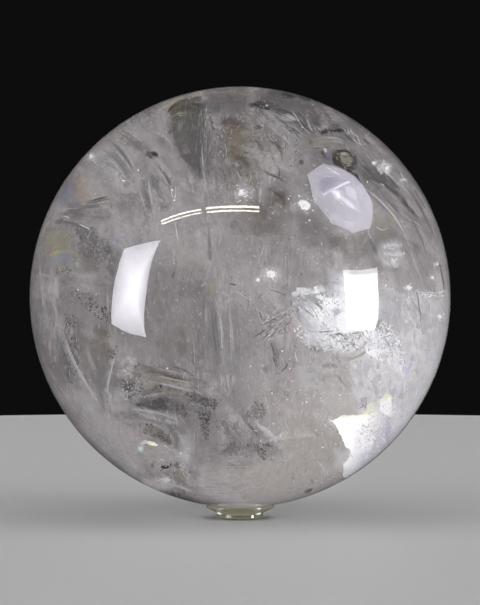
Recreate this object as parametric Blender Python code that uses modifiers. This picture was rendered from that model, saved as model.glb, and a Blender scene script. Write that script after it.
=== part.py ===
"""A polished rock-crystal sphere resting in a small clear ring stand.

Metres, +Z up. The origin is on the surface that the stand stands on, below the
sphere's centre. The side of the stone that shows best faces -Y.
"""

import math

import bpy

# The stone
SPHERE_DIAMETER = 0.120
SPHERE_SEGMENTS = 72
SPHERE_RINGS = 36

# The stand, a short clear ring that flares from a narrow foot to a wider lip
LIFT = 0.0030  # from the surface up to the stone's lowest point
SEAT_GAP = 0.0003  # between the stone and the dished seat under it
LIP_RADIUS = 0.0097
LIP_EDGE = 0.0006  # height of the lip's upright outer edge
FOOT_RADIUS = 0.0066
FOOT_HEIGHT = 0.0013
BORE_RADIUS = 0.0042
SEAT_STEPS = 5
RING_SEGMENTS = 48
CORNER_WIDTH = 0.00022
CORNER_STEPS = 2
CORNERS_ABOVE = math.radians(25)

# The looks
QUARTZ_COLOUR = (0.62, 0.61, 0.61)
QUARTZ_ROUGHNESS = 0.02
QUARTZ_IOR = 1.544
ACRYLIC_COLOUR = (0.86, 0.85, 0.80)
ACRYLIC_ROUGHNESS = 0.08
ACRYLIC_IOR = 1.49

MERGE_DISTANCE = 0.00001

SPHERE_RADIUS = SPHERE_DIAMETER / 2
CENTRE_HEIGHT = LIFT + SPHERE_RADIUS
SEAT_RADIUS = SPHERE_RADIUS + SEAT_GAP


def remove_all_objects():
    """Empties the scene."""
    for thing in list(bpy.data.objects):
        bpy.data.objects.remove(thing, do_unlink=True)


def new_collection(name):
    """A collection in the scene for the object's pieces."""
    collection = bpy.data.collections.new(name)
    bpy.context.scene.collection.children.link(collection)
    return collection


def clear_material(name, colour, roughness, ior):
    """A see-through stone or plastic of one colour."""
    material = bpy.data.materials.new(name)
    material.use_nodes = True
    material.diffuse_color = (*colour, 1.0)
    shader = material.node_tree.nodes["Principled BSDF"]
    shader.inputs["Base Color"].default_value = (*colour, 1.0)
    shader.inputs["Roughness"].default_value = roughness
    shader.inputs["Metallic"].default_value = 0.0
    shader.inputs["IOR"].default_value = ior
    shader.inputs["Transmission Weight"].default_value = 1.0
    return material


def quartz_sphere(collection):
    """The stone, one ball whose facets lie evenly about +Z."""
    bpy.ops.mesh.primitive_uv_sphere_add(
        segments=SPHERE_SEGMENTS,
        ring_count=SPHERE_RINGS,
        radius=SPHERE_RADIUS,
        location=(0.0, 0.0, CENTRE_HEIGHT),
    )
    ball = bpy.context.object
    ball.name = "quartz_sphere"
    ball.data.shade_smooth()
    ball.data.materials.append(
        clear_material("polished_quartz", QUARTZ_COLOUR, QUARTZ_ROUGHNESS, QUARTZ_IOR)
    )
    for holder in ball.users_collection:
        holder.objects.unlink(ball)
    collection.objects.link(ball)


def seat_height(radius):
    """How high the dished seat is at a distance from the axis."""
    return CENTRE_HEIGHT - math.sqrt(SEAT_RADIUS**2 - radius**2)


def ring_profile():
    """The ring's cross-section as (x, z): lip, outer side, foot, bore and seat, in that order."""
    lip_top = seat_height(LIP_RADIUS)
    outline = [
        (LIP_RADIUS, lip_top),
        (LIP_RADIUS, lip_top - LIP_EDGE),
        (FOOT_RADIUS, FOOT_HEIGHT),
        (FOOT_RADIUS, 0.0),
        (BORE_RADIUS, 0.0),
    ]
    seat_width = LIP_RADIUS - BORE_RADIUS
    for step in range(SEAT_STEPS):
        radius = BORE_RADIUS + seat_width * step / SEAT_STEPS
        outline.append((radius, seat_height(radius)))
    return outline


def ring_stand(collection):
    """The stand, its cross-section turned about the axis and its corners eased."""
    outline = ring_profile()
    edges = [(i, (i + 1) % len(outline)) for i in range(len(outline))]
    mesh = bpy.data.meshes.new("ring_stand")
    mesh.from_pydata([(x, 0.0, z) for x, z in outline], edges, [])
    mesh.materials.append(
        clear_material("clear_acrylic", ACRYLIC_COLOUR, ACRYLIC_ROUGHNESS, ACRYLIC_IOR)
    )
    stand = bpy.data.objects.new("ring_stand", mesh)
    collection.objects.link(stand)

    turned = stand.modifiers.new("turned", "SCREW")
    turned.axis = "Z"
    turned.steps = RING_SEGMENTS
    turned.render_steps = RING_SEGMENTS
    turned.use_merge_vertices = True
    turned.merge_threshold = MERGE_DISTANCE
    turned.use_smooth_shade = True

    eased = stand.modifiers.new("eased corners", "BEVEL")
    eased.limit_method = "ANGLE"
    eased.angle_limit = CORNERS_ABOVE
    eased.width = CORNER_WIDTH
    eased.segments = CORNER_STEPS


def main():
    """Builds the stone on its stand."""
    remove_all_objects()
    pieces = new_collection("quartz_sphere_on_stand")
    quartz_sphere(pieces)
    ring_stand(pieces)


main()
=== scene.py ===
"""Looks of a polished rock-crystal sphere that rests in a small clear ring stand.

The stone is see-through glass of quartz's own index. What makes it cloudy lies
inside it as real surfaces that glow with painted light: mists, fibres, fractures,
needles, specks and glints.
"""

import math
import random

import bpy
import numpy as np
from mathutils import Matrix, Vector, noise


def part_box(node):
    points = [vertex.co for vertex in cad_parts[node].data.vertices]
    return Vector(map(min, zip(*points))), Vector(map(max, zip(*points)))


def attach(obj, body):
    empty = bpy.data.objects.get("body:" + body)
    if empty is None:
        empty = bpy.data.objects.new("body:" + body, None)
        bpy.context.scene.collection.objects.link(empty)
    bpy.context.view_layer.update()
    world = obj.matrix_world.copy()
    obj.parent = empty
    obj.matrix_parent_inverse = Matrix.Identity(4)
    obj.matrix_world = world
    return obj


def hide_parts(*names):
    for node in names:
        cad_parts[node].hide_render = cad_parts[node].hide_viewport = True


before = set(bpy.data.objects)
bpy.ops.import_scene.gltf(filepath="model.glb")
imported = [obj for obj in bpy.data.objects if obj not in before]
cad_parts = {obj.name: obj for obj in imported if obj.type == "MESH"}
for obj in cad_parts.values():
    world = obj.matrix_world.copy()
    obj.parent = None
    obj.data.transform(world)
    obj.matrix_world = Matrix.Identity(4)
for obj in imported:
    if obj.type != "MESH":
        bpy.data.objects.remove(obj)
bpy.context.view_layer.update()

MM = 0.001

# The stone as packed
stone_low, stone_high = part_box("quartz_sphere")
CENTRE = (stone_low + stone_high) / 2
RADIUS = (stone_high.z - stone_low.z) / 2
QUARTZ_IOR = 1.544
QUARTZ_COLOUR = (0.93, 0.92, 0.91, 1.0)
QUARTZ_DENSITY = 3.0
SKIN = 0.972  # how much of the radius the inclusions reach

# The photograph's frame
PHOTO_WIDTH = 480
PHOTO_HEIGHT = 605
STONE_CENTRE_PX = (240.1, 297.0)
STONE_RADIUS_PX = 210.5
CAMERA_DISTANCE = 1.5
CAMERA_RISE = math.radians(3.0)
SENSOR = 36.0
GRAZING = 0.999  # rays that miss the stone are drawn in to this share of its radius
LIMB_PX = STONE_RADIUS_PX - 0.8  # how far out sheets are drawn


def focal_pixels():
    """The camera's focal length in pixels, which makes the stone as wide as in the photograph."""
    half_angle = math.asin(RADIUS / CAMERA_DISTANCE)
    return STONE_RADIUS_PX / math.tan(half_angle)


FOCAL_PX = focal_pixels()


def camera_axes():
    """The camera's place and its right, up and forward directions."""
    away = Vector((0.0, -math.cos(CAMERA_RISE), math.sin(CAMERA_RISE)))
    place = CENTRE + away * CAMERA_DISTANCE
    right = Vector((1.0, 0.0, 0.0))
    tilt = math.atan((PHOTO_HEIGHT / 2 - STONE_CENTRE_PX[1]) / FOCAL_PX)
    pan = math.atan((STONE_CENTRE_PX[0] - PHOTO_WIDTH / 2) / FOCAL_PX)
    turn = Matrix.Rotation(-tilt, 3, "X") @ Matrix.Rotation(pan, 3, "Z")
    forward = turn @ -away
    right = turn @ right
    return place, right, right.cross(forward), forward


CAMERA_PLACE, CAMERA_RIGHT, CAMERA_UP, CAMERA_FORWARD = camera_axes()


def make_camera():
    """The photograph's view: nearly level, from well away."""
    data = bpy.data.cameras.new("camera")
    data.sensor_width = SENSOR
    data.lens = FOCAL_PX * SENSOR / max(PHOTO_WIDTH, PHOTO_HEIGHT)
    data.clip_start = 0.05
    data.clip_end = 50.0
    camera = bpy.data.objects.new("camera", data)
    turn = Matrix((CAMERA_RIGHT, CAMERA_UP, -CAMERA_FORWARD)).transposed()
    camera.matrix_world = Matrix.Translation(CAMERA_PLACE) @ turn.to_4x4()
    bpy.context.scene.collection.objects.link(camera)
    bpy.context.scene.camera = camera


# Rays through pixels of the photograph


def where_met(px, py):
    """Where rays through pixels meet the stone's near side, and their directions."""
    px, py = np.broadcast_arrays(np.asarray(px, float), np.asarray(py, float))
    way = np.multiply.outer(px - PHOTO_WIDTH / 2, np.array(CAMERA_RIGHT))
    way += np.multiply.outer(PHOTO_HEIGHT / 2 - py, np.array(CAMERA_UP))
    way += np.array(CAMERA_FORWARD * FOCAL_PX)
    way /= np.linalg.norm(way, axis=-1, keepdims=True)
    along = way @ np.array(CENTRE - CAMERA_PLACE)
    aside = np.array(CAMERA_PLACE - CENTRE) + way * along[..., None]
    off = np.linalg.norm(aside, axis=-1, keepdims=True)
    aside *= np.minimum(1.0, RADIUS * GRAZING / off)
    off = np.minimum(off, RADIUS * GRAZING)
    return np.array(CENTRE) + aside - way * np.sqrt(RADIUS**2 - off**2), way


def spots(px, py, depth):
    """The places inside the stone that show at pixels, at shares of the way through."""
    met, way = where_met(px, py)
    normal = (met - np.array(CENTRE)) / RADIUS
    bend = 1.0 / QUARTZ_IOR
    cosine = -(normal * way).sum(-1, keepdims=True)
    inner_cosine = np.sqrt(1.0 - bend**2 * (1.0 - cosine**2))
    inward = way * bend + normal * (bend * cosine - inner_cosine)
    share = np.broadcast_to(np.asarray(depth, float), met.shape[:-1])[..., None]
    return met + inward * (2.0 * RADIUS * inner_cosine * share)


def spot(px, py, depth):
    """The place inside the stone that shows at one pixel, at a share of the way through."""
    return Vector(spots(px, py, depth))


def mirrored(px, py):
    """The place on the stone seen at a pixel, and the direction of the light that it mirrors."""
    met, way = where_met(px, py)
    met, way = Vector(met), Vector(way)
    normal = (met - CENTRE).normalized()
    return met, way - normal * (2.0 * way.dot(normal))


# Tones


def shade(red, green, blue):
    """The light that shows as these levels out of 255."""
    levels = np.array([red, green, blue]) / 255.0
    return np.where(levels > 0.04045, ((levels + 0.055) / 1.055) ** 2.4, levels / 12.92)


DARK_GREY = 135  # up to this level greys have the dark hue
PALE_GREY = 207  # and from this one on the pale hue
DARK_HUE = (1.018, 0.987, 0.997)
PALE_HUE = (1.000, 0.991, 1.008)


def grey(level):
    """A grey as the photograph has it, faintly warm when dark and faintly violet when bright."""
    hue = [np.interp(level, (DARK_GREY, PALE_GREY), pair) for pair in zip(DARK_HUE, PALE_HUE)]
    return shade(*(level * part for part in hue))


MIST_HUE = np.array([1.058, 0.980, 1.0])
MIST_LEVEL = 0.297

# Zones where the mist's painted glow is lighter or darker: the pixel they show at, their reach in mm and
# their gain
ZONES = {
    "top_shade": (235, 108, 22, -0.10),
    "upper_left_light": (112, 160, 22, 0.09),
    "upper_middle_light": (180, 235, 13, 0.08),
    "upper_right_shade": (378, 185, 20, -0.06),
    "left_shade": (80, 345, 22, -0.09),
    "middle_shade": (190, 330, 17, -0.08),
    "right_light": (420, 325, 20, 0.26),
    "lower_right_light": (385, 380, 25, 0.38),
    "lower_left_shade": (175, 405, 14, -0.07),
    "low_left_light": (125, 455, 20, 0.08),
    "bottom_light": (290, 485, 28, 0.20),
}
ZONE_DEPTH = 0.45  # as a share of the way through the stone
LIT_ZONES = [(spot(px, py, ZONE_DEPTH), reach * MM, gain) for px, py, reach, gain in ZONES.values()]
GLOW_DRIFT = 0.22
GLOW_DRIFT_SIZE = 17 * MM
GLOW_SEED = 31


def glow(place):
    """How brightly mist glows at a place: painted light that stands for the light scattered many times
    inside.
    """
    level = MIST_LEVEL
    for middle, reach, gain in LIT_ZONES:
        far = (place - middle).length / reach
        level += gain * math.exp(-far * far)
    level *= 1.0 + GLOW_DRIFT * drift(place, GLOW_DRIFT_SIZE, GLOW_SEED)
    return MIST_HUE * level


def drift(place, size, seed, octaves=3):
    """Smooth noise, about -1 to 1, that changes over a distance of size."""
    shifted = Vector(place) / size + Vector((seed * 17.3, seed * 9.1, seed * 5.7))
    return noise.fractal(shifted, 1.0, 2.0, octaves)


def drifts(places, size, seed, octaves=3):
    """Smooth noise at each place of a grid."""
    flat = places.reshape(-1, 3)
    values = [drift(place, size, seed, octaves) for place in flat]
    return np.array(values).reshape(places.shape[:-1])


# Materials

NOISE_SPAN = (0.3, 0.7)  # where most values of a noise pattern lie
CELL_BENDS = 260.0  # how many bends the borders of cells have in a metre
CELL_PUSH = 0.0035  # how far the bends push them, in metres
CELL_SHAPE = (1.0, 0.7, 0.55)  # how many cells lie side by side along X, Y and Z
KEY_WAY = Vector((0.45, -0.55, 0.7)).normalized()  # roughly towards the key lamp
LET_IN = (0.72, 0.72, 0.72, 1.0)  # the share of the lamps' light that the stone's surface lets in


def new_material(name):
    """A material with its nodes, its Principled shader and its output."""
    material = bpy.data.materials.new(name)
    material.use_nodes = True
    nodes = material.node_tree.nodes
    return material, nodes["Principled BSDF"], nodes["Material Output"]


def add(material, kind, **inputs):
    """A node with some of its inputs set. An input's name has underscores for spaces."""
    node = material.node_tree.nodes.new(kind)
    for name, value in inputs.items():
        node.inputs[name.replace("_", " ")].default_value = value
    return node


def link(material, source, target):
    """Joins an output to an input."""
    material.node_tree.links.new(source, target)


def maths(material, operation, first, second):
    """An operation on two outputs, or on an output and a number."""
    node = material.node_tree.nodes.new("ShaderNodeMath")
    node.operation = operation
    for socket, value in zip(node.inputs, (first, second)):
        if isinstance(value, (int, float)):
            socket.default_value = value
        else:
            link(material, value, socket)
    return node.outputs[0]


def spread(material, value, low, high, to_low, to_high):
    """A value carried from one range to another, and kept within it."""
    node = add(material, "ShaderNodeMapRange")
    node.inputs["From Min"].default_value = low
    node.inputs["From Max"].default_value = high
    node.inputs["To Min"].default_value = to_low
    node.inputs["To Max"].default_value = to_high
    link(material, value, node.inputs["Value"])
    return node.outputs[0]


def noise_pattern(
    material, size, stretch=1.0, detail=3.0, roughness=0.6, lean=5.0, swirl=0.0, ridged=False
):
    """Noise with features of a size in metres, drawn out by stretch along a line.

    The line leans to the right of upright, as the camera sees it, by lean in degrees.
    """
    place = add(material, "ShaderNodeTexCoord")
    drawn = add(material, "ShaderNodeMapping")
    drawn.vector_type = "TEXTURE"
    drawn.inputs["Scale"].default_value = (size, size, size * stretch)
    drawn.inputs["Rotation"].default_value = (0.10, math.radians(lean), 0.0)
    link(material, place.outputs["Object"], drawn.inputs[0])
    kind = "ShaderNodeTexNoise"
    pattern = add(material, kind, Scale=1.0, Detail=detail, Roughness=roughness, Distortion=swirl)
    if ridged:
        pattern.noise_type = "RIDGED_MULTIFRACTAL"
    link(material, drawn.outputs[0], pattern.inputs["Vector"])
    return pattern.outputs[0]


def cell_pattern(material, size):
    """Broken, angular cells of different levels, 0 to 1, with bent borders."""
    place = add(material, "ShaderNodeTexCoord")
    bends = add(material, "ShaderNodeTexNoise", Scale=CELL_BENDS, Detail=2.0)
    link(material, place.outputs["Object"], bends.inputs["Vector"])
    push = material.node_tree.nodes.new("ShaderNodeVectorMath")
    push.operation = "MULTIPLY_ADD"
    push.inputs[1].default_value = (CELL_PUSH, CELL_PUSH, CELL_PUSH)
    link(material, bends.outputs["Color"], push.inputs[0])
    link(material, place.outputs["Object"], push.inputs[2])
    drawn = add(material, "ShaderNodeMapping")
    drawn.inputs["Scale"].default_value = [share / size for share in CELL_SHAPE]
    drawn.inputs["Rotation"].default_value = (0.3, 0.5, 0.2)
    link(material, push.outputs[0], drawn.inputs[0])
    cells = add(material, "ShaderNodeTexVoronoi", Scale=1.0)
    link(material, drawn.outputs[0], cells.inputs["Vector"])
    split = add(material, "ShaderNodeSeparateColor")
    link(material, cells.outputs["Color"], split.inputs[0])
    return split.outputs[0]


def facing(material):
    """How squarely a crinkle faces the key light, either way round."""
    shape = add(material, "ShaderNodeNewGeometry")
    dot = material.node_tree.nodes.new("ShaderNodeVectorMath")
    dot.operation = "DOT_PRODUCT"
    dot.inputs[1].default_value = KEY_WAY
    link(material, shape.outputs["Normal"], dot.inputs[0])
    return maths(material, "ABSOLUTE", dot.outputs["Value"], 0.0)


def glowing(material, shader, level):
    """Painted light for an inclusion: it glows in its own tint times a level, for the light it scatters."""
    tint = add(material, "ShaderNodeAttribute")
    tint.attribute_name = "tint"
    lit = material.node_tree.nodes.new("ShaderNodeVectorMath")
    lit.operation = "SCALE"
    link(material, tint.outputs["Color"], lit.inputs[0])
    link(material, level, lit.inputs["Scale"])
    link(material, lit.outputs[0], shader.inputs["Emission Color"])
    shader.inputs["Emission Strength"].default_value = 1.0
    shader.inputs["Base Color"].default_value = (0.0, 0.0, 0.0, 1.0)
    shader.inputs["Roughness"].default_value = 1.0
    shader.inputs["Specular IOR Level"].default_value = 0.0
    material.cycles.emission_sampling = "NONE"


def veil_material(name, pattern, fray, clear, full, level):
    """A sheet whose edge, and in places its middle, is worn away by a pattern.

    The mesh's veil runs from 0 outside to 1 well inside. The pattern raises or lowers it by
    its own distance from one half, times fray. Below clear nothing is left, and from full on
    the sheet is as dense as the fourth value of its tint.
    """
    material, shader, _ = new_material(name)
    veil = add(material, "ShaderNodeAttribute")
    veil.attribute_name = "veil"
    tint = add(material, "ShaderNodeAttribute")
    tint.attribute_name = "tint"
    moved = maths(material, "MULTIPLY", maths(material, "SUBTRACT", pattern(material), 0.5), fray)
    worn = maths(material, "MULTIPLY", veil.outputs["Fac"], maths(material, "ADD", moved, 1.0))
    share = spread(material, worn, clear, full, 0.0, 1.0)
    link(material, maths(material, "MULTIPLY", share, tint.outputs["Alpha"]), shader.inputs["Alpha"])
    glowing(material, shader, level(material))
    return material


def grain_level(size, stretch, low, high, lean=5.0):
    """A fine unevenness in how brightly a sheet shows."""
    return lambda m: spread(m, noise_pattern(m, size, stretch, 4.0, 0.7, lean), *NOISE_SPAN, low, high)


def mist_material():
    """Soft mist, thicker here and there."""
    return veil_material(
        "mist",
        lambda m: noise_pattern(m, 6 * MM, 1.5, 6.0, 0.62, swirl=0.6),
        fray=3.4,
        clear=0.35,
        full=1.5,
        level=grain_level(1.6 * MM, 2.0, 0.66, 1.34),
    )


def haze_material():
    """A smooth haze with a faint unevenness."""
    return veil_material(
        "haze",
        lambda m: noise_pattern(m, 5 * MM, 1.3, 5.0, 0.6, swirl=0.5),
        fray=1.8,
        clear=0.02,
        full=1.0,
        level=grain_level(1.4 * MM, 1.5, 0.8, 1.2),
    )


def wisp_material():
    """A torn wisp."""
    return veil_material(
        "wisp",
        lambda m: noise_pattern(m, 2.4 * MM, 1.4, 6.0, 0.66, swirl=0.4),
        fray=3.4,
        clear=0.25,
        full=1.15,
        level=grain_level(1.2 * MM, 1.8, 0.82, 1.18),
    )


def speckle_material():
    """A sheet of close, small grains."""
    return veil_material(
        "speckle",
        lambda m: noise_pattern(m, 0.62 * MM, 1.2, 4.0, 0.62, swirl=0.4),
        fray=5.5,
        clear=0.62,
        full=1.0,
        level=grain_level(0.5 * MM, 1.2, 0.7, 1.3),
    )


def fibre_material(name="fibres", lean=2.0):
    """Mist drawn out in fine fibres."""
    return veil_material(
        name,
        lambda m: noise_pattern(m, 0.9 * MM, 14.0, 5.0, 0.6, lean, 0.2),
        fray=3.8,
        clear=0.4,
        full=1.3,
        level=grain_level(0.7 * MM, 9.0, 0.8, 1.2, lean),
    )


def fracture_material():
    """A crackled fracture, brighter where its crinkles face the light."""
    return veil_material(
        "fracture",
        lambda m: spread(m, noise_pattern(m, 2.0 * MM, 1.6, 7.0, 0.6, ridged=True), 0.0, 2.0, 0.0, 1.0),
        fray=1.6,
        clear=0.35,
        full=1.1,
        level=lambda m: maths(
            m,
            "MULTIPLY",
            spread(m, facing(m), 0.0, 1.0, 0.6, 1.3),
            spread(m, noise_pattern(m, 0.8 * MM, 2.0, 3.0, 0.7), *NOISE_SPAN, 0.75, 1.25),
        ),
    )


def facet_material():
    """A crushed zone, broken into small planes that each catch the light their own way."""
    return veil_material(
        "crushed",
        lambda m: noise_pattern(m, 2.4 * MM, 1.4, 5.0, 0.65, swirl=0.8),
        fray=3.2,
        clear=0.3,
        full=0.8,
        level=lambda m: maths(
            m,
            "MULTIPLY",
            spread(m, cell_pattern(m, 1.5 * MM), 0.0, 1.0, 0.70, 1.30),
            spread(m, noise_pattern(m, 0.7 * MM, 1.6, 4.0, 0.7, swirl=0.6), *NOISE_SPAN, 0.72, 1.28),
        ),
    )


def plane_material():
    """A flat, even plane with a crisp edge."""
    return veil_material(
        "plane",
        lambda m: noise_pattern(m, 1.2 * MM, 1.0, 4.0, 0.6),
        fray=2.2,
        clear=0.25,
        full=0.75,
        level=grain_level(0.8 * MM, 1.2, 0.92, 1.08),
    )


def mineral_material(name, broken=True):
    """Grains or needles in their own tints, a little uneven. Broken ones fade in places."""
    material, shader, _ = new_material(name)
    level = spread(material, noise_pattern(material, 0.9 * MM), *NOISE_SPAN, 0.75, 1.25)
    glowing(material, shader, level)
    if broken:
        fade = spread(material, noise_pattern(material, 0.8 * MM, 1.0, 3.0), 0.36, 0.56, 0.12, 0.92)
        link(material, fade, shader.inputs["Alpha"])
    return material


def stone_material():
    """Clear quartz. Lamps reach what lies inside it through a shadow that is only partly dark."""
    material, shader, output = new_material("clear_quartz")
    shader.inputs["Base Color"].default_value = (1.0, 1.0, 1.0, 1.0)
    shader.inputs["Roughness"].default_value = 0.0
    shader.inputs["IOR"].default_value = QUARTZ_IOR
    shader.inputs["Transmission Weight"].default_value = 1.0
    path = add(material, "ShaderNodeLightPath")
    open_way = add(material, "ShaderNodeBsdfTransparent", Color=LET_IN)
    mix = add(material, "ShaderNodeMixShader")
    link(material, path.outputs["Is Shadow Ray"], mix.inputs[0])
    link(material, shader.outputs[0], mix.inputs[1])
    link(material, open_way.outputs[0], mix.inputs[2])
    link(material, mix.outputs[0], output.inputs["Surface"])
    depth = add(material, "ShaderNodeVolumeAbsorption", Color=QUARTZ_COLOUR, Density=QUARTZ_DENSITY)
    link(material, depth.outputs[0], output.inputs["Volume"])
    return material


def ring_material():
    """Clear, slightly yellow plastic, clouded in places. Its faint glow is painted light, for light
    gathered inside.
    """
    material, shader, _ = new_material("clear_ring_plastic")
    rubbed = noise_pattern(material, 1.6 * MM, 0.5, 4.0)
    colour = material.node_tree.nodes.new("ShaderNodeMix")
    colour.data_type = "RGBA"
    colour.inputs["A"].default_value = (0.96, 0.94, 0.78, 1.0)
    colour.inputs["B"].default_value = (0.84, 0.82, 0.60, 1.0)
    link(material, spread(material, rubbed, 0.35, 0.65, 0.0, 1.0), colour.inputs["Factor"])
    link(material, colour.outputs["Result"], shader.inputs["Base Color"])
    link(material, spread(material, rubbed, 0.35, 0.65, 0.03, 0.16), shader.inputs["Roughness"])
    shader.inputs["IOR"].default_value = 1.49
    shader.inputs["Transmission Weight"].default_value = 0.75
    shader.inputs["Emission Color"].default_value = (1.0, 0.96, 0.76, 1.0)
    shader.inputs["Emission Strength"].default_value = 0.035
    return material


# Meshes

THINNEST = 0.004  # a cell of a sheet is left out where its veil is less than this all round
THREAD_SIDE = Vector((0.31, 0.87, 0.38))  # no thread or needle lies along it


def new_piece(name, points, faces, material, tints, veil=None, smooth=True):
    """A mesh that is part of the object and rides with it."""
    mesh = bpy.data.meshes.new(name)
    mesh.from_pydata(points.tolist(), [], faces)
    colour = mesh.attributes.new("tint", "FLOAT_COLOR", "POINT")
    colour.data.foreach_set("color", tints.astype(np.float32).ravel())
    if veil is not None:
        layer = mesh.attributes.new("veil", "FLOAT", "POINT")
        layer.data.foreach_set("value", veil.astype(np.float32))
    if smooth:
        mesh.shade_smooth()
    mesh.materials.append(material)
    piece = bpy.data.objects.new(name, mesh)
    bpy.context.scene.collection.objects.link(piece)
    piece.visible_shadow = False
    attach(piece, "root")


def fine_sphere():
    """The stone's polished surface."""
    bpy.ops.mesh.primitive_ico_sphere_add(subdivisions=7, radius=RADIUS, location=CENTRE)
    ball = bpy.context.object
    ball.name = "polished_sphere"
    bpy.ops.object.transform_apply(location=True, rotation=False, scale=False)
    ball.data.shade_smooth()
    ball.data.materials.append(stone_material())
    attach(ball, "root")
    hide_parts("quartz_sphere")


def edge_distance(outline, x, y):
    """How far points lie inside an outline, in its own units; less than 0 outside."""
    corners = np.asarray(outline, float)
    nearest = np.full(x.shape, 1e9)
    inside = np.zeros(x.shape, bool)
    for (ax, ay), (bx, by) in zip(corners, np.roll(corners, -1, 0)):
        across, down = bx - ax, by - ay
        share = np.clip(((x - ax) * across + (y - ay) * down) / (across**2 + down**2), 0.0, 1.0)
        nearest = np.minimum(nearest, np.hypot(x - ax - share * across, y - ay - share * down))
        spans = (ay > y) != (by > y)
        if by != ay:
            inside ^= spans & (x < ax + (y - ay) * across / down)
    return np.where(inside, nearest, -nearest)


OVAL_POINTS = 14


def oval(px, py, half_wide, half_tall, angle=0.0):
    """An oval outline, turned clockwise by an angle in degrees."""
    turn = math.radians(angle)
    ring = []
    for i in range(OVAL_POINTS):
        around = 2.0 * math.pi * i / OVAL_POINTS
        x = half_wide * math.cos(around)
        y = half_tall * math.sin(around)
        across = px + x * math.cos(turn) - y * math.sin(turn)
        down = py + x * math.sin(turn) + y * math.cos(turn)
        ring.append((across, down))
    return ring


def within_skin(places):
    """Which places of a grid lie well inside the stone."""
    return np.linalg.norm(places - np.array(CENTRE), axis=-1) < RADIUS * SKIN


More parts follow.
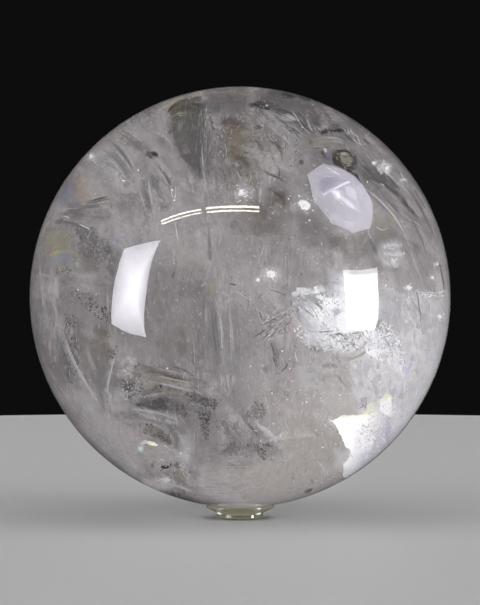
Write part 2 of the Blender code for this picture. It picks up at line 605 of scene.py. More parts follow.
class Sheets:
    """Ragged sheets gathered for one mesh. Each point has a tint and a density."""

    def __init__(self):
        self.points = []
        self.tints = []
        self.veil = []
        self.faces = []
        self.count = 0

    def add_grid(self, places, tints, dense, veil, kept):
        """The cells of a grid whose corners are all kept and which are not all clear."""
        quarters = (slice(None, -1), slice(None, -1)), (slice(None, -1), slice(1, None))
        quarters += (slice(1, None), slice(1, None)), (slice(1, None), slice(None, -1))
        cells = np.logical_and.reduce([kept[q] for q in quarters])
        cells &= np.maximum.reduce([veil[q] for q in quarters]) > THINNEST
        number = np.arange(kept.size).reshape(kept.shape)
        quads = np.stack([number[q][cells] for q in quarters], 1)
        used, faces = np.unique(quads, return_inverse=True)
        self.points.append(places.reshape(-1, 3)[used])
        self.tints.append(np.c_[tints.reshape(-1, 3)[used], np.full(len(used), dense)])
        self.veil.append(veil.reshape(-1)[used])
        self.faces += (faces.reshape(-1, 4) + self.count).tolist()
        self.count += len(used)

    def sheet(self, centre, normal, wide, tall, bend, dense, seed, tint=None, steps=40, wobble=2.2 * MM):
        """A bent, crinkled sheet anywhere in the stone, cut off inside its skin."""
        normal = normal.normalized()
        side = normal.cross(Vector((0.0, 0.0, 1.0)))
        if side.length < 0.1:
            side = normal.cross(Vector((1.0, 0.0, 0.0)))
        side.normalize()
        up = side.cross(normal)
        y, x = np.mgrid[-1 : 1 : (steps + 1) * 1j, -1 : 1 : (steps + 1) * 1j]
        flat = np.array(centre) + np.multiply.outer(x * wide, np.array(side))
        flat = flat + np.multiply.outer(y * tall, np.array(up))
        lift = bend * (x * x - 0.6 * y * y + 0.5 * x * y)
        lift += wobble * 2.0 * drifts(flat, 22 * MM, seed)
        lift += wobble * 0.5 * drifts(flat, 5 * MM, seed + 3)
        places = flat + np.multiply.outer(lift, np.array(normal))
        outline = np.hypot(x, y) + 0.30 * drifts(flat, 0.4 * (wide + tall) / 2, seed + 7, 4)
        edge = 0.5 if tint is None else 0.8
        veil = np.clip((1.0 - outline) / edge, 0.0, 1.0)
        if tint is None:
            tints = np.array([glow(Vector(p)) for p in places.reshape(-1, 3)]).reshape(places.shape)
        else:
            tints = np.broadcast_to(tint, places.shape)
        self.add_grid(places, tints, dense, veil, within_skin(places))

    def strip(self, start, end, across, width, tint, dense, bow=0.0):
        """A narrow strip between two places, thickest along its middle."""
        v, u = np.mgrid[-1:1:7j, -1:1:5j]
        start, end, across = np.array(start), np.array(end), np.array(across)
        places = np.multiply.outer((1 - v) / 2, start) + np.multiply.outer((1 + v) / 2, end)
        places += np.multiply.outer(u * width / 2 + bow * (1 - v * v), across)
        veil = (1.0 - u * u) * (1.0 - v * v) ** 0.6
        tints = np.broadcast_to(tint, places.shape)
        self.add_grid(places, tints, dense, veil, within_skin(places))

    def patch(
        self, name, outline, tint, dense, depth, soft, step, lean=(0.25, -0.15), ragged=0.6
    ):
        """A sheet that shows in an outline given in pixels, drawn in where it would leave the stone.

        Its tint may follow the pixel.
        """
        chance = random.Random(name)
        seed = chance.random() * 40.0
        corners = np.asarray(outline, float)
        low = corners.min(0) - step * 1.5
        high = corners.max(0) + step * 1.5
        x, y = np.meshgrid(np.arange(low[0], high[0], step), np.arange(low[1], high[1], step))
        if min(x.shape) < 2:
            return
        pixels = np.stack([x, y, np.zeros(x.shape)], -1)
        inside = edge_distance(outline, x, y)
        broad = min(3.0, 0.12 * (high - low).min())
        inside += ragged * broad * drifts(pixels, 5.0 * broad, seed, 3)
        veil = np.clip(0.5 + inside / soft, 0.0, 1.0)
        middle = corners.mean(0)
        tip = lean[0] * (x - middle[0]) / 100 + lean[1] * (y - middle[1]) / 100
        tip += 0.016 * drifts(pixels, 16.0, seed + 3, 2) + 0.004 * drifts(pixels, 4.0, seed + 5, 2)
        away_x, away_y = x - STONE_CENTRE_PX[0], y - STONE_CENTRE_PX[1]
        far = np.hypot(away_x, away_y)
        drawn_in = np.minimum(1.0, LIMB_PX / np.maximum(far, 1.0))
        seen_x = STONE_CENTRE_PX[0] + away_x * drawn_in
        seen_y = STONE_CENTRE_PX[1] + away_y * drawn_in
        places = spots(seen_x, seen_y, np.clip(depth + tip, 0.016, 0.97))
        if callable(tint):
            tints = np.array([[tint(a, b) for a, b in zip(*row)] for row in zip(x, y)])
        else:
            tints = np.broadcast_to(tint, places.shape)
        self.add_grid(places, tints, dense, veil, far < LIMB_PX + 1.5 * step)

    def finish(self, name, material):
        """The piece of all sheets so far."""
        points = np.concatenate(self.points)
        tints = np.concatenate(self.tints)
        veil = np.concatenate(self.veil)
        new_piece(name, points, self.faces, material, tints, veil)


def three_about(place, along, reach):
    """Three points round a line that runs through a place, at a distance from it."""
    aside = along.cross(THREAD_SIDE).normalized()
    around = along.cross(aside)
    turns = [2.0 * math.pi * k / 3 for k in range(3)]
    return [place + (aside * math.cos(turn) + around * math.sin(turn)) * reach for turn in turns]


class Grains:
    """Small closed solids gathered for one mesh, each with its own tint."""

    def __init__(self):
        self.points = []
        self.tints = []
        self.faces = []

    def add(self, points, faces, tint):
        """One more solid."""
        first = len(self.points)
        self.points += [tuple(p) for p in points]
        self.tints += [tuple(tint)] * len(points)
        self.faces += [[first + i for i in face] for face in faces]

    def thread(self, places, width, tint):
        """A three-sided thread through places, thinner at both ends."""
        along = (places[-1] - places[0]).normalized()
        points = []
        faces = []
        last = len(places) - 1
        for i, place in enumerate(places):
            swell = math.sin(math.pi * (i + 0.35) / (last + 0.7)) ** 0.5
            points += three_about(place, along, width / 2 * max(0.15, swell))
            if i < last:
                for k in range(3):
                    n = (k + 1) % 3
                    faces.append([3 * i + k, 3 * i + n, 3 * i + 3 + n, 3 * i + 3 + k])
        faces.append([2, 1, 0])
        faces.append([3 * last, 3 * last + 1, 3 * last + 2])
        self.add(points, faces, tint)

    def splinter(self, start, end, width, tint):
        """A needle with a three-sided waist, pointed at both ends."""
        along = (end - start).normalized()
        waist = three_about(start.lerp(end, 0.5), along, width / 2)
        faces = [[0, 2, 1], [0, 3, 2], [0, 1, 3], [4, 1, 2], [4, 2, 3], [4, 3, 1]]
        self.add([start, *waist, end], faces, tint)

    def grain(self, place, size, tint, chance):
        """A stubby crystal with eight faces."""
        points = []
        for axis in range(3):
            reach = Vector((0.0, 0.0, 0.0))
            reach[axis] = size / 2 * chance.uniform(0.6, 1.4)
            reach.rotate(Matrix.Rotation(chance.uniform(0.2, 0.7), 3, (0.5, 0.6, 0.62)))
            points += [place - reach, place + reach]
        faces = []
        for x in (0, 1):
            for y in (2, 3):
                for z in (4, 5):
                    flip = (x + y + z) % 2
                    faces.append([x, z, y] if flip else [x, y, z])
        self.add(points, faces, tint)

    def finish(self, name, material):
        """The piece of all solids so far."""
        points = np.array(self.points)
        tints = np.c_[np.array(self.tints), np.ones(len(points))]
        new_piece(name, points, self.faces, material, tints, smooth=False)


PIXEL = RADIUS / STONE_RADIUS_PX  # a pixel's width at the stone's middle, in metres
MAGNIFIED = 0.78  # how wide a thing just inside is drawn, against its width bare
STRAND_THREADS = 4
TWIGS = 3  # for each stretch of a dendrite
BURST_DEPTH = 0.05


def pixels_wide(width):
    """The width in metres of a thing inside the stone that shows this many pixels wide."""
    return width * PIXEL * MAGNIFIED


def rounded_path(path, step):
    """Close points along a path of pixels, with its corners eased."""
    corners = [Vector(p) for p in path]
    stops = []
    for a, b in zip(corners, corners[1:]):
        count = max(1, round((b - a).length / step))
        stops += [a.lerp(b, i / count) for i in range(count)]
    stops.append(corners[-1])
    if len(stops) < 3:
        stops.insert(1, stops[0].lerp(stops[1], 0.5))
    rounded = [stops[0]]
    rounded += [(a + b * 2 + c) / 4 for a, b, c in zip(stops, stops[1:], stops[2:])]
    rounded.append(stops[-1])
    return rounded


def line(grains, path, width, tint, depth, slope=0.0):
    """A thread that shows along a path of pixels."""
    stops = rounded_path(path, 2.5)
    last = len(stops) - 1
    places = [spot(p.x, p.y, depth + slope * i / last) for i, p in enumerate(stops)]
    grains.thread(places, pixels_wide(width), tint)


def strand(sheets, name, path, width, tint, dense, depth):
    """Fine soft ribbons that show side by side along a path of pixels."""
    chance = random.Random(name)
    stops = rounded_path(path, 4.0)
    stops = rounded_path([tuple(p) for p in stops], 1.5)
    for _ in range(STRAND_THREADS):
        first = int(chance.uniform(0.0, 0.35) * len(stops))
        last = int(chance.uniform(0.65, 1.0) * len(stops))
        if last - first < 4:
            continue
        aside = chance.uniform(-0.5, 0.5) * width
        slim = width * chance.uniform(0.22, 0.5)
        level = chance.uniform(0.92, 1.1)
        deep = depth + chance.uniform(-0.004, 0.004)
        ribbon(sheets, stops[first:last], aside, slim, tint * level, dense, deep)


def ribbon(sheets, stops, shift, half_wide, tint, dense, depth):
    """A soft ribbon along close points, to one side of them, fading to its sides and ends."""
    x = np.array([p.x for p in stops])
    y = np.array([p.y for p in stops])
    across, down = np.gradient(x), np.gradient(y)
    length = np.hypot(across, down)
    along = np.linspace(-1.0, 1.0, len(stops))[:, None]
    aside = np.linspace(-1.0, 1.0, 7)[None, :]
    half = half_wide * (0.35 + 0.65 * np.sqrt(1.0 - 0.98 * along * along)) * aside + shift
    px = x[:, None] - (down / length)[:, None] * half
    py = y[:, None] + (across / length)[:, None] * half
    veil = (1.0 - aside * aside) * (1.0 - along * along) ** 0.5
    places = spots(px, py, np.full(px.shape, depth))
    far = np.hypot(px - STONE_CENTRE_PX[0], py - STONE_CENTRE_PX[1])
    sheets.add_grid(places, np.broadcast_to(tint, places.shape), dense, veil, far < LIMB_PX)


def scattered(name, outline, count):
    """Random pixels inside an outline, and the chance that made them."""
    chance = random.Random(name)
    corners = np.asarray(outline, float)
    low, high = corners.min(0), corners.max(0)
    found = []
    while len(found) < count:
        x = np.array([chance.uniform(low[0], high[0]) for _ in range(64)])
        y = np.array([chance.uniform(low[1], high[1]) for _ in range(64)])
        inside = edge_distance(outline, x, y) > 0.0
        inside &= np.hypot(x - STONE_CENTRE_PX[0], y - STONE_CENTRE_PX[1]) < STONE_RADIUS_PX - 2.0
        found += list(zip(x[inside], y[inside]))
    return found[:count], chance


def needles(grains, name, outline, count, angle, lengths, widths, levels, depths, sway=8.0):
    """Needles that show in an outline, leaning to the right by an angle in degrees."""
    places, chance = scattered(name, outline, count)
    for x, y in places:
        lean = math.radians(chance.gauss(angle, sway))
        length = chance.uniform(*lengths)
        depth = chance.uniform(*depths)
        tint = grey(chance.uniform(*levels))
        dx, dy = math.sin(lean) * length / 2, math.cos(lean) * length / 2
        start = spot(x - dx, y + dy, depth)
        end = spot(x + dx, y - dy, depth + chance.uniform(-0.02, 0.02))
        grains.splinter(start, end, pixels_wide(chance.uniform(*widths)), tint)


def streaks(
    sheets, name, outline, count, angle, lengths, widths, gains, depths=(0.04, 0.4), sway=6.0
):
    """Soft narrow strips that show in an outline, brighter or darker than the mist about them."""
    places, chance = scattered(name, outline, count)
    for x, y in places:
        lean = math.radians(chance.gauss(angle, sway))
        length = chance.uniform(*lengths)
        depth = chance.uniform(*depths)
        dx, dy = math.sin(lean) * length / 2, math.cos(lean) * length / 2
        start = spot(x - dx, y + dy, depth)
        end = spot(x + dx, y - dy, min(0.95, max(0.02, depth + chance.uniform(-0.03, 0.03))))
        tint = glow(start.lerp(end, 0.5)) * chance.uniform(*gains)
        across = (end - start).cross(CAMERA_FORWARD).normalized()
        width = pixels_wide(chance.uniform(*widths))
        dense = chance.uniform(0.2, 0.6)
        sheets.strip(start, end, across, width, tint, dense, chance.uniform(-1, 1) * width)


def shreds(sheets, name, outline, count, sizes, angle, gains, depths, sway):
    """Small torn planes that show in an outline, longer along an angle from upright."""
    places, chance = scattered(name, outline, count)
    for number, (x, y) in enumerate(places):
        lean = math.radians(chance.gauss(angle, sway))
        size = chance.uniform(*sizes)
        slim = chance.uniform(0.25, 0.7)
        corners = []
        for i in range(6):
            turn = 2.0 * math.pi * (i + chance.uniform(-0.3, 0.3)) / 6
            u = size / 2 * slim * math.cos(turn) * chance.uniform(0.6, 1.2)
            v = size / 2 * math.sin(turn) * chance.uniform(0.6, 1.2)
            across = x + u * math.cos(lean) + v * math.sin(lean)
            down = y + u * math.sin(lean) - v * math.cos(lean)
            corners.append((across, down))
        depth = chance.uniform(*depths)
        tint = glow(spot(x, y, depth)) * chance.uniform(*gains)
        tips = (chance.uniform(-0.5, 0.5), chance.uniform(-0.5, 0.5))
        soft = size * slim * 0.5
        dense = chance.uniform(0.25, 0.6)
        step = max(1.2, size / 10)
        sheets.patch(f"{name}_{number}", corners, tint, dense, depth, soft, step, tips)


def burst(sheets, grains, name, x, y, size):
    """A small fracture painted as a white flash, with glowing flecks and a faint painted bloom about it."""
    chance = random.Random(name)
    bloom = oval(x, y, size * 1.6, size * 1.3)
    core = oval(x, y, size * 0.7, size * 0.55, 20)
    sheets.patch(f"{name}_bloom", bloom, grey(200), 0.4, BURST_DEPTH + 0.01, size * 1.9, 1.2)
    sheets.patch(f"{name}_core", core, WHITE, 0.95, BURST_DEPTH, size * 0.6, 0.7, ragged=1.6)
    for _ in range(round(size * 8)):
        turn = chance.uniform(0, 2 * math.pi)
        far = abs(chance.gauss(0, 0.85)) * size
        place = spot(x + far * math.cos(turn), y + 0.8 * far * math.sin(turn), BURST_DEPTH - 0.01)
        grains.grain(place, pixels_wide(chance.uniform(0.8, 2.0)), grey(chance.uniform(215, 255)), chance)


def specks(grains, name, outline, count, sizes, levels, depths):
    """Grains that show in an outline."""
    places, chance = scattered(name, outline, count)
    for x, y in places:
        tint = grey(chance.uniform(*levels))
        size = pixels_wide(chance.uniform(*sizes))
        grains.grain(spot(x, y, chance.uniform(*depths)), size, tint, chance)


def branches(grains, name, path, size, level, depth, reach):
    """A dark dendrite: grains strung along a path of pixels, with short side twigs."""
    chance = random.Random(name)
    corners = [Vector(p) for p in path]
    for a, b in zip(corners, corners[1:]):
        steps = max(1, round((b - a).length / (size * 0.9)))
        for i in range(steps):
            at = a.lerp(b, i / steps) + Vector((chance.gauss(0, 0.5), chance.gauss(0, 0.5)))
            tint = grey(level * chance.uniform(0.7, 1.35))
            wide = pixels_wide(size * chance.uniform(0.5, 1.4))
            grains.grain(spot(at.x, at.y, depth), wide, tint, chance)
    for _ in range(TWIGS * (len(path) - 1)):
        root = chance.choice(corners)
        turn = chance.uniform(0, 2 * math.pi)
        tip = root + Vector((math.cos(turn), math.sin(turn))) * chance.uniform(0.4, 1.0) * reach
        tint = grey(level * chance.uniform(0.8, 1.4))
        line(grains, [tuple(root), tuple(tip)], size * 0.55, tint, depth)


# What shows in the photograph, by kind and place. Outlines and paths are in its pixels.

WHITE = shade(252, 252, 255)

# Smooth hazes, most of which make the mist's painted glow lighter or darker over an area
# (painted light and shade): tint, density, depth, width of the soft edge in pixels, outline
HAZES = {
    "warm_haze": (
        shade(156, 151, 146), 0.45, 0.22, 22.0,
        [(92, 148), (112, 126), (136, 116), (150, 140), (142, 185), (118, 206), (92, 204), (80, 180)],
    ),
    "left_low_dim": (
        grey(104), 0.6, 0.16, 20.0,
        [(34, 300), (58, 306), (74, 350), (86, 392), (62, 380), (40, 340)],
    ),
    "beside_panel": (
        grey(134), 0.5, 0.16, 14.0,
        [(158, 268), (212, 266), (217, 300), (215, 352), (198, 374), (156, 368), (148, 338), (154, 300)],
    ),
    "lens_dim": (
        grey(104), 0.35, 0.10, 16.0,
        [(138, 380), (200, 384), (222, 400), (210, 420), (162, 414), (134, 402)],
    ),
    "low_left_dim": (
        grey(122), 0.45, 0.13, 24.0,
        [(150, 420), (206, 410), (232, 440), (214, 466), (186, 452)],
    ),
    "tree_dim": (grey(118), 0.25, 0.12, 18.0, [(196, 384), (224, 396), (224, 440), (204, 446), (192, 416)]),
    "top_dim": (
        grey(92), 0.5, 0.14, 18.0,
        [(178, 104), (206, 98), (300, 98), (336, 118), (320, 134), (270, 122), (246, 172), (206, 180),
         (178, 156)],
    ),
    "arc_dim": (
        grey(104), 0.3, 0.14, 16.0,
        [(340, 140), (372, 160), (408, 196), (432, 246), (414, 240), (380, 196)],
    ),
    "centre_dim": (
        shade(110, 104, 98), 0.45, 0.12, 18.0,
        [(226, 208), (268, 204), (292, 216), (280, 234), (236, 234)],
    ),
    "middle_dim": (
        grey(126), 0.4, 0.15, 22.0,
        [(214, 296), (246, 296), (262, 330), (250, 372), (222, 376)],
    ),
    "upper_middle_light": (
        shade(164, 156, 155), 0.6, 0.12, 10.0,
        [(178, 240), (213, 238), (214, 264), (179, 267)],
    ),
    "centre_light": (grey(164), 0.2, 0.12, 18.0, oval(268, 280, 30, 17)),
    "crush_glow": (
        shade(236, 236, 242), 0.85, 0.115, 22.0,
        [(304, 300), (346, 288), (378, 300), (388, 340), (392, 366), (352, 352), (312, 336)],
    ),
    "panel_glow": (shade(226, 226, 234), 0.6, 0.1, 14.0, [(332, 272), (346, 268), (347, 300), (330, 298)]),
    "right_glow": (
        shade(200, 197, 200), 0.6, 0.15, 26.0,
        [(382, 284), (438, 286), (446, 330), (432, 372), (398, 368), (384, 330)],
    ),
    "low_right_glow": (
        shade(212, 209, 212), 0.8, 0.14, 24.0,
        [(356, 374), (400, 362), (440, 346), (442, 372), (418, 414), (392, 430), (372, 404)],
    ),
    "limb_glow": (
        shade(217, 215, 221), 0.95, 0.04, 14.0,
        [(449, 330), (446, 362), (430, 398), (408, 430), (392, 440), (396, 420), (416, 386), (434, 350)],
    ),
    "facets_light": (
        shade(186, 182, 180), 0.55, 0.14, 22.0,
        [(300, 372), (352, 368), (372, 400), (330, 414), (306, 400)],
    ),
    "bottom_light": (
        shade(166, 160, 157), 0.75, 0.10, 30.0,
        [(262, 456), (296, 420), (336, 436), (346, 480), (300, 500), (230, 502), (214, 488)],
    ),
    "lower_centre_light": (
        shade(158, 152, 152), 0.5, 0.12, 26.0,
        [(240, 378), (290, 372), (318, 400), (300, 430), (250, 410)],
    ),
    "low_rim_light": (
        shade(158, 152, 150), 0.6, 0.10, 16.0,
        [(130, 462), (150, 470), (180, 492), (160, 486), (136, 472)],
    ),
    "low_left_light": (
        grey(156), 0.5, 0.13, 22.0,
        [(92, 412), (122, 408), (140, 440), (132, 466), (104, 446)],
    ),
    "dome": (
        shade(154, 148, 146), 0.85, 0.07, 6.0,
        [(141, 456), (145, 446), (153, 441), (162, 445), (172, 450), (181, 460), (170, 470), (148, 468)],
    ),
    "right_violet": (
        shade(196, 192, 222), 0.6, 0.04, 6.0,
        [(403, 366), (408, 366), (409, 376), (404, 378)],
    ),
    "v_dark": (
        shade(118, 113, 110), 0.5, 0.10, 9.0,
        [(68, 344), (84, 338), (112, 342), (112, 372), (107, 402), (100, 396), (86, 374)],
    ),
    "ledge_glow": (
        grey(196), 0.6, 0.05, 8.0,
        [(382, 244), (396, 240), (405, 246), (407, 256), (398, 268), (384, 267), (377, 256)],
    ),
    "facet_dark": (
        shade(163, 158, 154), 0.6, 0.075, 14.0,
        [(310, 396), (330, 420), (346, 446), (343, 470), (306, 476), (286, 440)],
    ),
    "blob": (
        grey(186), 0.6, 0.055, 8.0,
        [(182, 438), (189, 437), (193, 449), (190, 463), (183, 468), (179, 456)],
    ),
    "yellow_haze": (
        shade(148, 143, 120), 0.6, 0.06, 9.0,
        [(45, 232), (60, 230), (72, 235), (72, 248), (60, 252), (46, 250)],
    ),
    "bluish": (
        shade(120, 121, 138), 0.55, 0.05, 10.0,
        [(63, 184), (74, 180), (80, 192), (75, 206), (64, 206), (56, 197)],
    ),
    "orange": (
        shade(152, 136, 120), 0.55, 0.05, 10.0,
        [(76, 181), (88, 178), (92, 194), (86, 203), (74, 198)],
    ),
    "centre_upper_light": (
        grey(158), 0.5, 0.10, 14.0,
        [(240, 182), (262, 176), (270, 192), (256, 200), (240, 198)],
    ),
    "top_light": (
        shade(136, 130, 126), 0.5, 0.10, 14.0,
        [(244, 116), (268, 114), (300, 134), (304, 158), (272, 158), (244, 146)],
    ),
    "limb_left_light": (
        grey(160), 0.5, 0.10, 14.0,
        [(86, 170), (110, 146), (124, 154), (116, 186), (96, 190)],
    ),
    "low_left_side": (
        grey(158), 0.6, 0.10, 18.0,
        [(100, 420), (136, 424), (150, 452), (140, 470), (112, 446)],
    ),
    "bottom_band": (
        shade(164, 158, 156), 0.6, 0.06, 18.0,
        [(196, 470), (262, 462), (330, 462), (326, 488), (270, 502), (214, 496)],
    ),
    "under_panel_light": (
        grey(148), 0.5, 0.08, 14.0,
        [(120, 338), (160, 336), (186, 340), (180, 362), (140, 362), (118, 352)],
    ),
    "wedge_dark": (
        shade(98, 93, 91), 0.65, 0.065, 9.0,
        [(170, 120), (178, 107), (206, 102), (207, 120), (206, 150), (204, 178), (197, 177), (187, 165),
         (177, 150), (170, 136)],
    ),
    "low_left_rim": (
        grey(160), 0.7, 0.03, 10.0,
        [(66, 396), (88, 436), (126, 474), (160, 494), (172, 488), (140, 466), (106, 428), (82, 392)],
    ),
    "bottom_rim": (
        grey(160), 0.7, 0.03, 10.0,
        [(190, 496), (240, 506), (300, 500), (340, 482), (330, 474), (290, 490), (240, 494), (200, 486)],
    ),
    # panel_edge is painted light along the edge of the right panel's reflection
    "panel_edge": (shade(248, 248, 252), 0.9, 0.03, 7.0, [(340, 278), (348, 274), (350, 330), (342, 331)]),
    "centre_low_dim": (
        grey(126), 0.5, 0.13, 22.0,
        [(214, 326), (262, 326), (272, 404), (232, 412), (212, 372)],
    ),
    "upper_row_dim": (
        grey(118), 0.5, 0.13, 16.0,
        [(188, 172), (238, 172), (236, 202), (206, 206), (188, 200)],
    ),
    "top_left_dim": (grey(94), 0.5, 0.06, 12.0, [(206, 94), (240, 91), (252, 94), (246, 110), (214, 112)]),
    "top_right_dim": (
        grey(108), 0.45, 0.10, 14.0,
        [(306, 120), (340, 120), (352, 138), (330, 144), (308, 138)],
    ),
    "panel_right_dim": (
        grey(118), 0.5, 0.12, 14.0,
        [(364, 150), (382, 150), (396, 180), (390, 204), (372, 190)],
    ),
    "panel_corner_dim": (
        grey(124), 0.5, 0.12, 12.0,
        [(360, 232), (380, 228), (386, 262), (372, 268), (358, 252)],
    ),
    "left_top_light": (
        grey(164), 0.55, 0.10, 14.0,
        [(92, 150), (116, 138), (128, 160), (118, 178), (96, 176)],
    ),
    "low_glow_a": (
        grey(160), 0.5, 0.10, 16.0,
        [(150, 446), (200, 446), (216, 468), (190, 482), (156, 470)],
    ),
    "side_glow": (
        shade(206, 203, 207), 0.6, 0.10, 18.0,
        [(392, 328), (418, 324), (436, 332), (432, 360), (414, 378), (396, 374)],
    ),
    "facets_glow": (
        shade(190, 186, 184), 0.6, 0.09, 16.0,
        [(330, 362), (358, 362), (366, 396), (358, 412), (336, 410)],
    ),
    "upper_left_dim": (
        grey(122), 0.45, 0.10, 12.0,
        [(122, 150), (146, 140), (150, 164), (136, 180), (122, 172)],
    ),
    "tubes_dim": (grey(128), 0.4, 0.10, 12.0, [(176, 180), (206, 184), (208, 202), (182, 206)]),
    "left_mid_light": (
        shade(148, 144, 145), 0.45, 0.09, 12.0,
        [(62, 268), (106, 266), (104, 322), (84, 330), (64, 312)],
    ),
    "left_high_dim": (grey(114), 0.4, 0.09, 12.0, [(60, 238), (90, 236), (104, 252), (96, 264), (64, 262)]),
    "top_arch_lift": (
        grey(114), 0.5, 0.06, 10.0,
        [(262, 91), (284, 91), (308, 99), (302, 112), (276, 112), (262, 104)],
    ),
    "top_mid_dim": (grey(90), 0.45, 0.06, 10.0, [(206, 91), (242, 89), (244, 112), (210, 113)]),
    "brow_dim": (
        grey(102), 0.4, 0.052, 10.0,
        [(300, 118), (330, 116), (360, 130), (362, 142), (330, 146), (302, 140)],
    ),
    "left_top_lift": (
        shade(160, 154, 153), 0.4, 0.08, 12.0,
        [(92, 150), (118, 142), (122, 170), (98, 178)],
    ),
    "wedge_left_lift": (grey(153), 0.35, 0.08, 10.0, [(152, 148), (176, 146), (182, 172), (154, 174)]),
    "octagon_low_dim": (
        grey(118), 0.45, 0.07, 8.0,
        [(296, 212), (318, 222), (334, 238), (314, 244), (296, 232)],
    ),
    "right_low_lift": (
        shade(226, 223, 227), 0.4, 0.05, 14.0,
        [(390, 328), (420, 330), (422, 384), (392, 388)],
    ),
    "limb_lift": (
        shade(206, 204, 208), 0.45, 0.05, 10.0,
        [(424, 294), (452, 292), (452, 340), (436, 366), (424, 350)],
    ),
    "left_low_dim_b": (grey(110), 0.4, 0.07, 12.0, [(90, 354), (118, 352), (122, 388), (94, 390)]),
    "mid_low_lift": (
        shade(186, 183, 183), 0.5, 0.07, 12.0,
        [(298, 352), (330, 356), (334, 390), (300, 390)],
    ),
    "lens_low_lift": (grey(142), 0.4, 0.06, 12.0, [(180, 418), (210, 416), (214, 446), (184, 446)]),
    "left_foot_lift": (grey(156), 0.4, 0.07, 12.0, [(150, 448), (180, 446), (182, 474), (156, 474)]),
    "foot_lift": (
        shade(178, 172, 172), 0.6, 0.06, 12.0,
        [(200, 478), (300, 475), (318, 487), (288, 501), (240, 507), (204, 500)],
    ),
    "right_arc_dim": (
        grey(108), 0.4, 0.06, 10.0,
        [(364, 176), (386, 182), (396, 204), (376, 204), (366, 190)],
    ),
    "crumple_calm": (
        shade(168, 166, 174), 0.3, 0.04, 8.0,
        [(300, 308), (330, 312), (334, 346), (304, 350)],
    ),
    "side_lift": (shade(222, 219, 222), 0.35, 0.05, 12.0, [(396, 330), (420, 332), (420, 358), (398, 356)]),
    "tone_crumple": (
        grey(116), 0.45, 0.046, 9.0,
        [(280, 284), (316, 286), (322, 306), (300, 312), (280, 308)],
    ),
    "tone_burst": (grey(112), 0.36, 0.060, 8.0, [(292, 192), (316, 196), (322, 216), (300, 220)]),
    "tone_under_facet": (
        grey(100), 0.42, 0.060, 9.0,
        [(296, 210), (318, 212), (336, 226), (332, 234), (300, 230)],
    ),
    "tone_left_limb": (grey(84), 0.42, 0.060, 9.0, [(74, 226), (96, 226), (96, 270), (78, 272)]),
    "tone_white_low": (grey(254), 0.85, 0.034, 4.0, [(354, 428), (373, 426), (371, 449), (356, 453)]),
    "tone_middle": (
        grey(118), 0.42, 0.065, 8.0,
        [(256, 330), (274, 330), (280, 348), (298, 352), (294, 374), (268, 366)],
    ),
    "tone_upper_left": (grey(182), 0.42, 0.060, 9.0, [(92, 150), (118, 148), (118, 172), (92, 172)]),
    "tone_left_panel": (grey(176), 0.42, 0.060, 9.0, [(113, 208), (137, 208), (134, 252), (116, 252)]),
    "tone_low_left": (grey(172), 0.42, 0.060, 9.0, [(112, 388), (138, 388), (138, 412), (114, 412)]),
    "tone_top_left": (
        grey(164), 0.42, 0.060, 9.0,
        [(152, 110), (176, 108), (196, 150), (192, 172), (174, 168), (170, 130)],
    ),
    "tone_bottom": (
        grey(112), 0.42, 0.060, 9.0,
        [(214, 446), (250, 430), (292, 428), (296, 450), (254, 470), (216, 470)],
    ),
    "tone_right_of_facet": (grey(92), 0.40, 0.060, 7.0, [(352, 166), (374, 170), (378, 190), (360, 184)]),
    "tone_right_block": (grey(244), 0.42, 0.045, 7.0, [(376, 330), (396, 330), (394, 350), (376, 350)]),
    "tone_right_upper": (grey(110), 0.40, 0.060, 8.0, [(374, 228), (398, 230), (398, 270), (376, 268)]),
    "tone_column": (grey(110), 0.40, 0.060, 8.0, [(212, 308), (236, 308), (238, 374), (214, 374)]),
    "tone_top": (grey(70), 0.42, 0.060, 8.0, [(312, 108), (338, 110), (338, 132), (314, 130)]),
    "tone_over_tubes": (grey(176), 0.42, 0.060, 8.0, [(194, 228), (218, 228), (218, 250), (196, 250)]),
    "tone_crumple_b": (grey(126), 0.36, 0.045, 8.0, [(294, 288), (334, 292), (334, 312), (298, 312)]),
    "tone_above_crumple": (
        grey(110), 0.36, 0.060, 8.0,
        [(278, 250), (296, 250), (318, 276), (300, 288), (280, 272)],
    ),
    "tone_left_side": (grey(176), 0.38, 0.060, 7.0, [(76, 274), (96, 272), (96, 294), (78, 292)]),
    "tone_left_low": (grey(104), 0.40, 0.060, 8.0, [(92, 350), (116, 352), (116, 412), (98, 412)]),
    "tone_left_top": (grey(180), 0.38, 0.060, 8.0, [(113, 168), (137, 168), (137, 192), (115, 192)]),
    "tone_limb_left": (grey(96), 0.38, 0.060, 6.0, [(38, 290), (54, 290), (54, 312), (38, 312)]),
    "tone_below_eye": (grey(84), 0.38, 0.060, 7.0, [(312, 150), (334, 152), (334, 168), (314, 170)]),
    "tone_ledge": (grey(88), 0.38, 0.055, 7.0, [(152, 370), (178, 370), (178, 390), (154, 390)]),
    "tone_right_low": (grey(246), 0.38, 0.045, 7.0, [(334, 332), (358, 332), (358, 350), (336, 350)]),
    "tone_top_right": (grey(178), 0.38, 0.060, 8.0, [(273, 148), (297, 148), (297, 172), (275, 172)]),
    "tone_left_of_panel": (grey(196), 0.38, 0.060, 5.0, [(334, 250), (343, 250), (342, 268), (334, 268)]),
    "tone_right_side": (grey(128), 0.38, 0.060, 8.0, [(393, 268), (417, 268), (417, 292), (395, 292)]),
    "tone_right_under": (grey(232), 0.38, 0.055, 8.0, [(353, 388), (377, 390), (377, 412), (355, 410)]),
    "tone_far_right": (grey(228), 0.38, 0.055, 7.0, [(414, 348), (434, 348), (430, 372), (416, 372)]),
    "tone_low_limb": (grey(182), 0.38, 0.060, 7.0, [(74, 390), (96, 390), (100, 414), (84, 414)]),
    "tone_bottom_right": (grey(228), 0.38, 0.060, 7.0, [(334, 450), (356, 450), (350, 470), (336, 470)]),
}

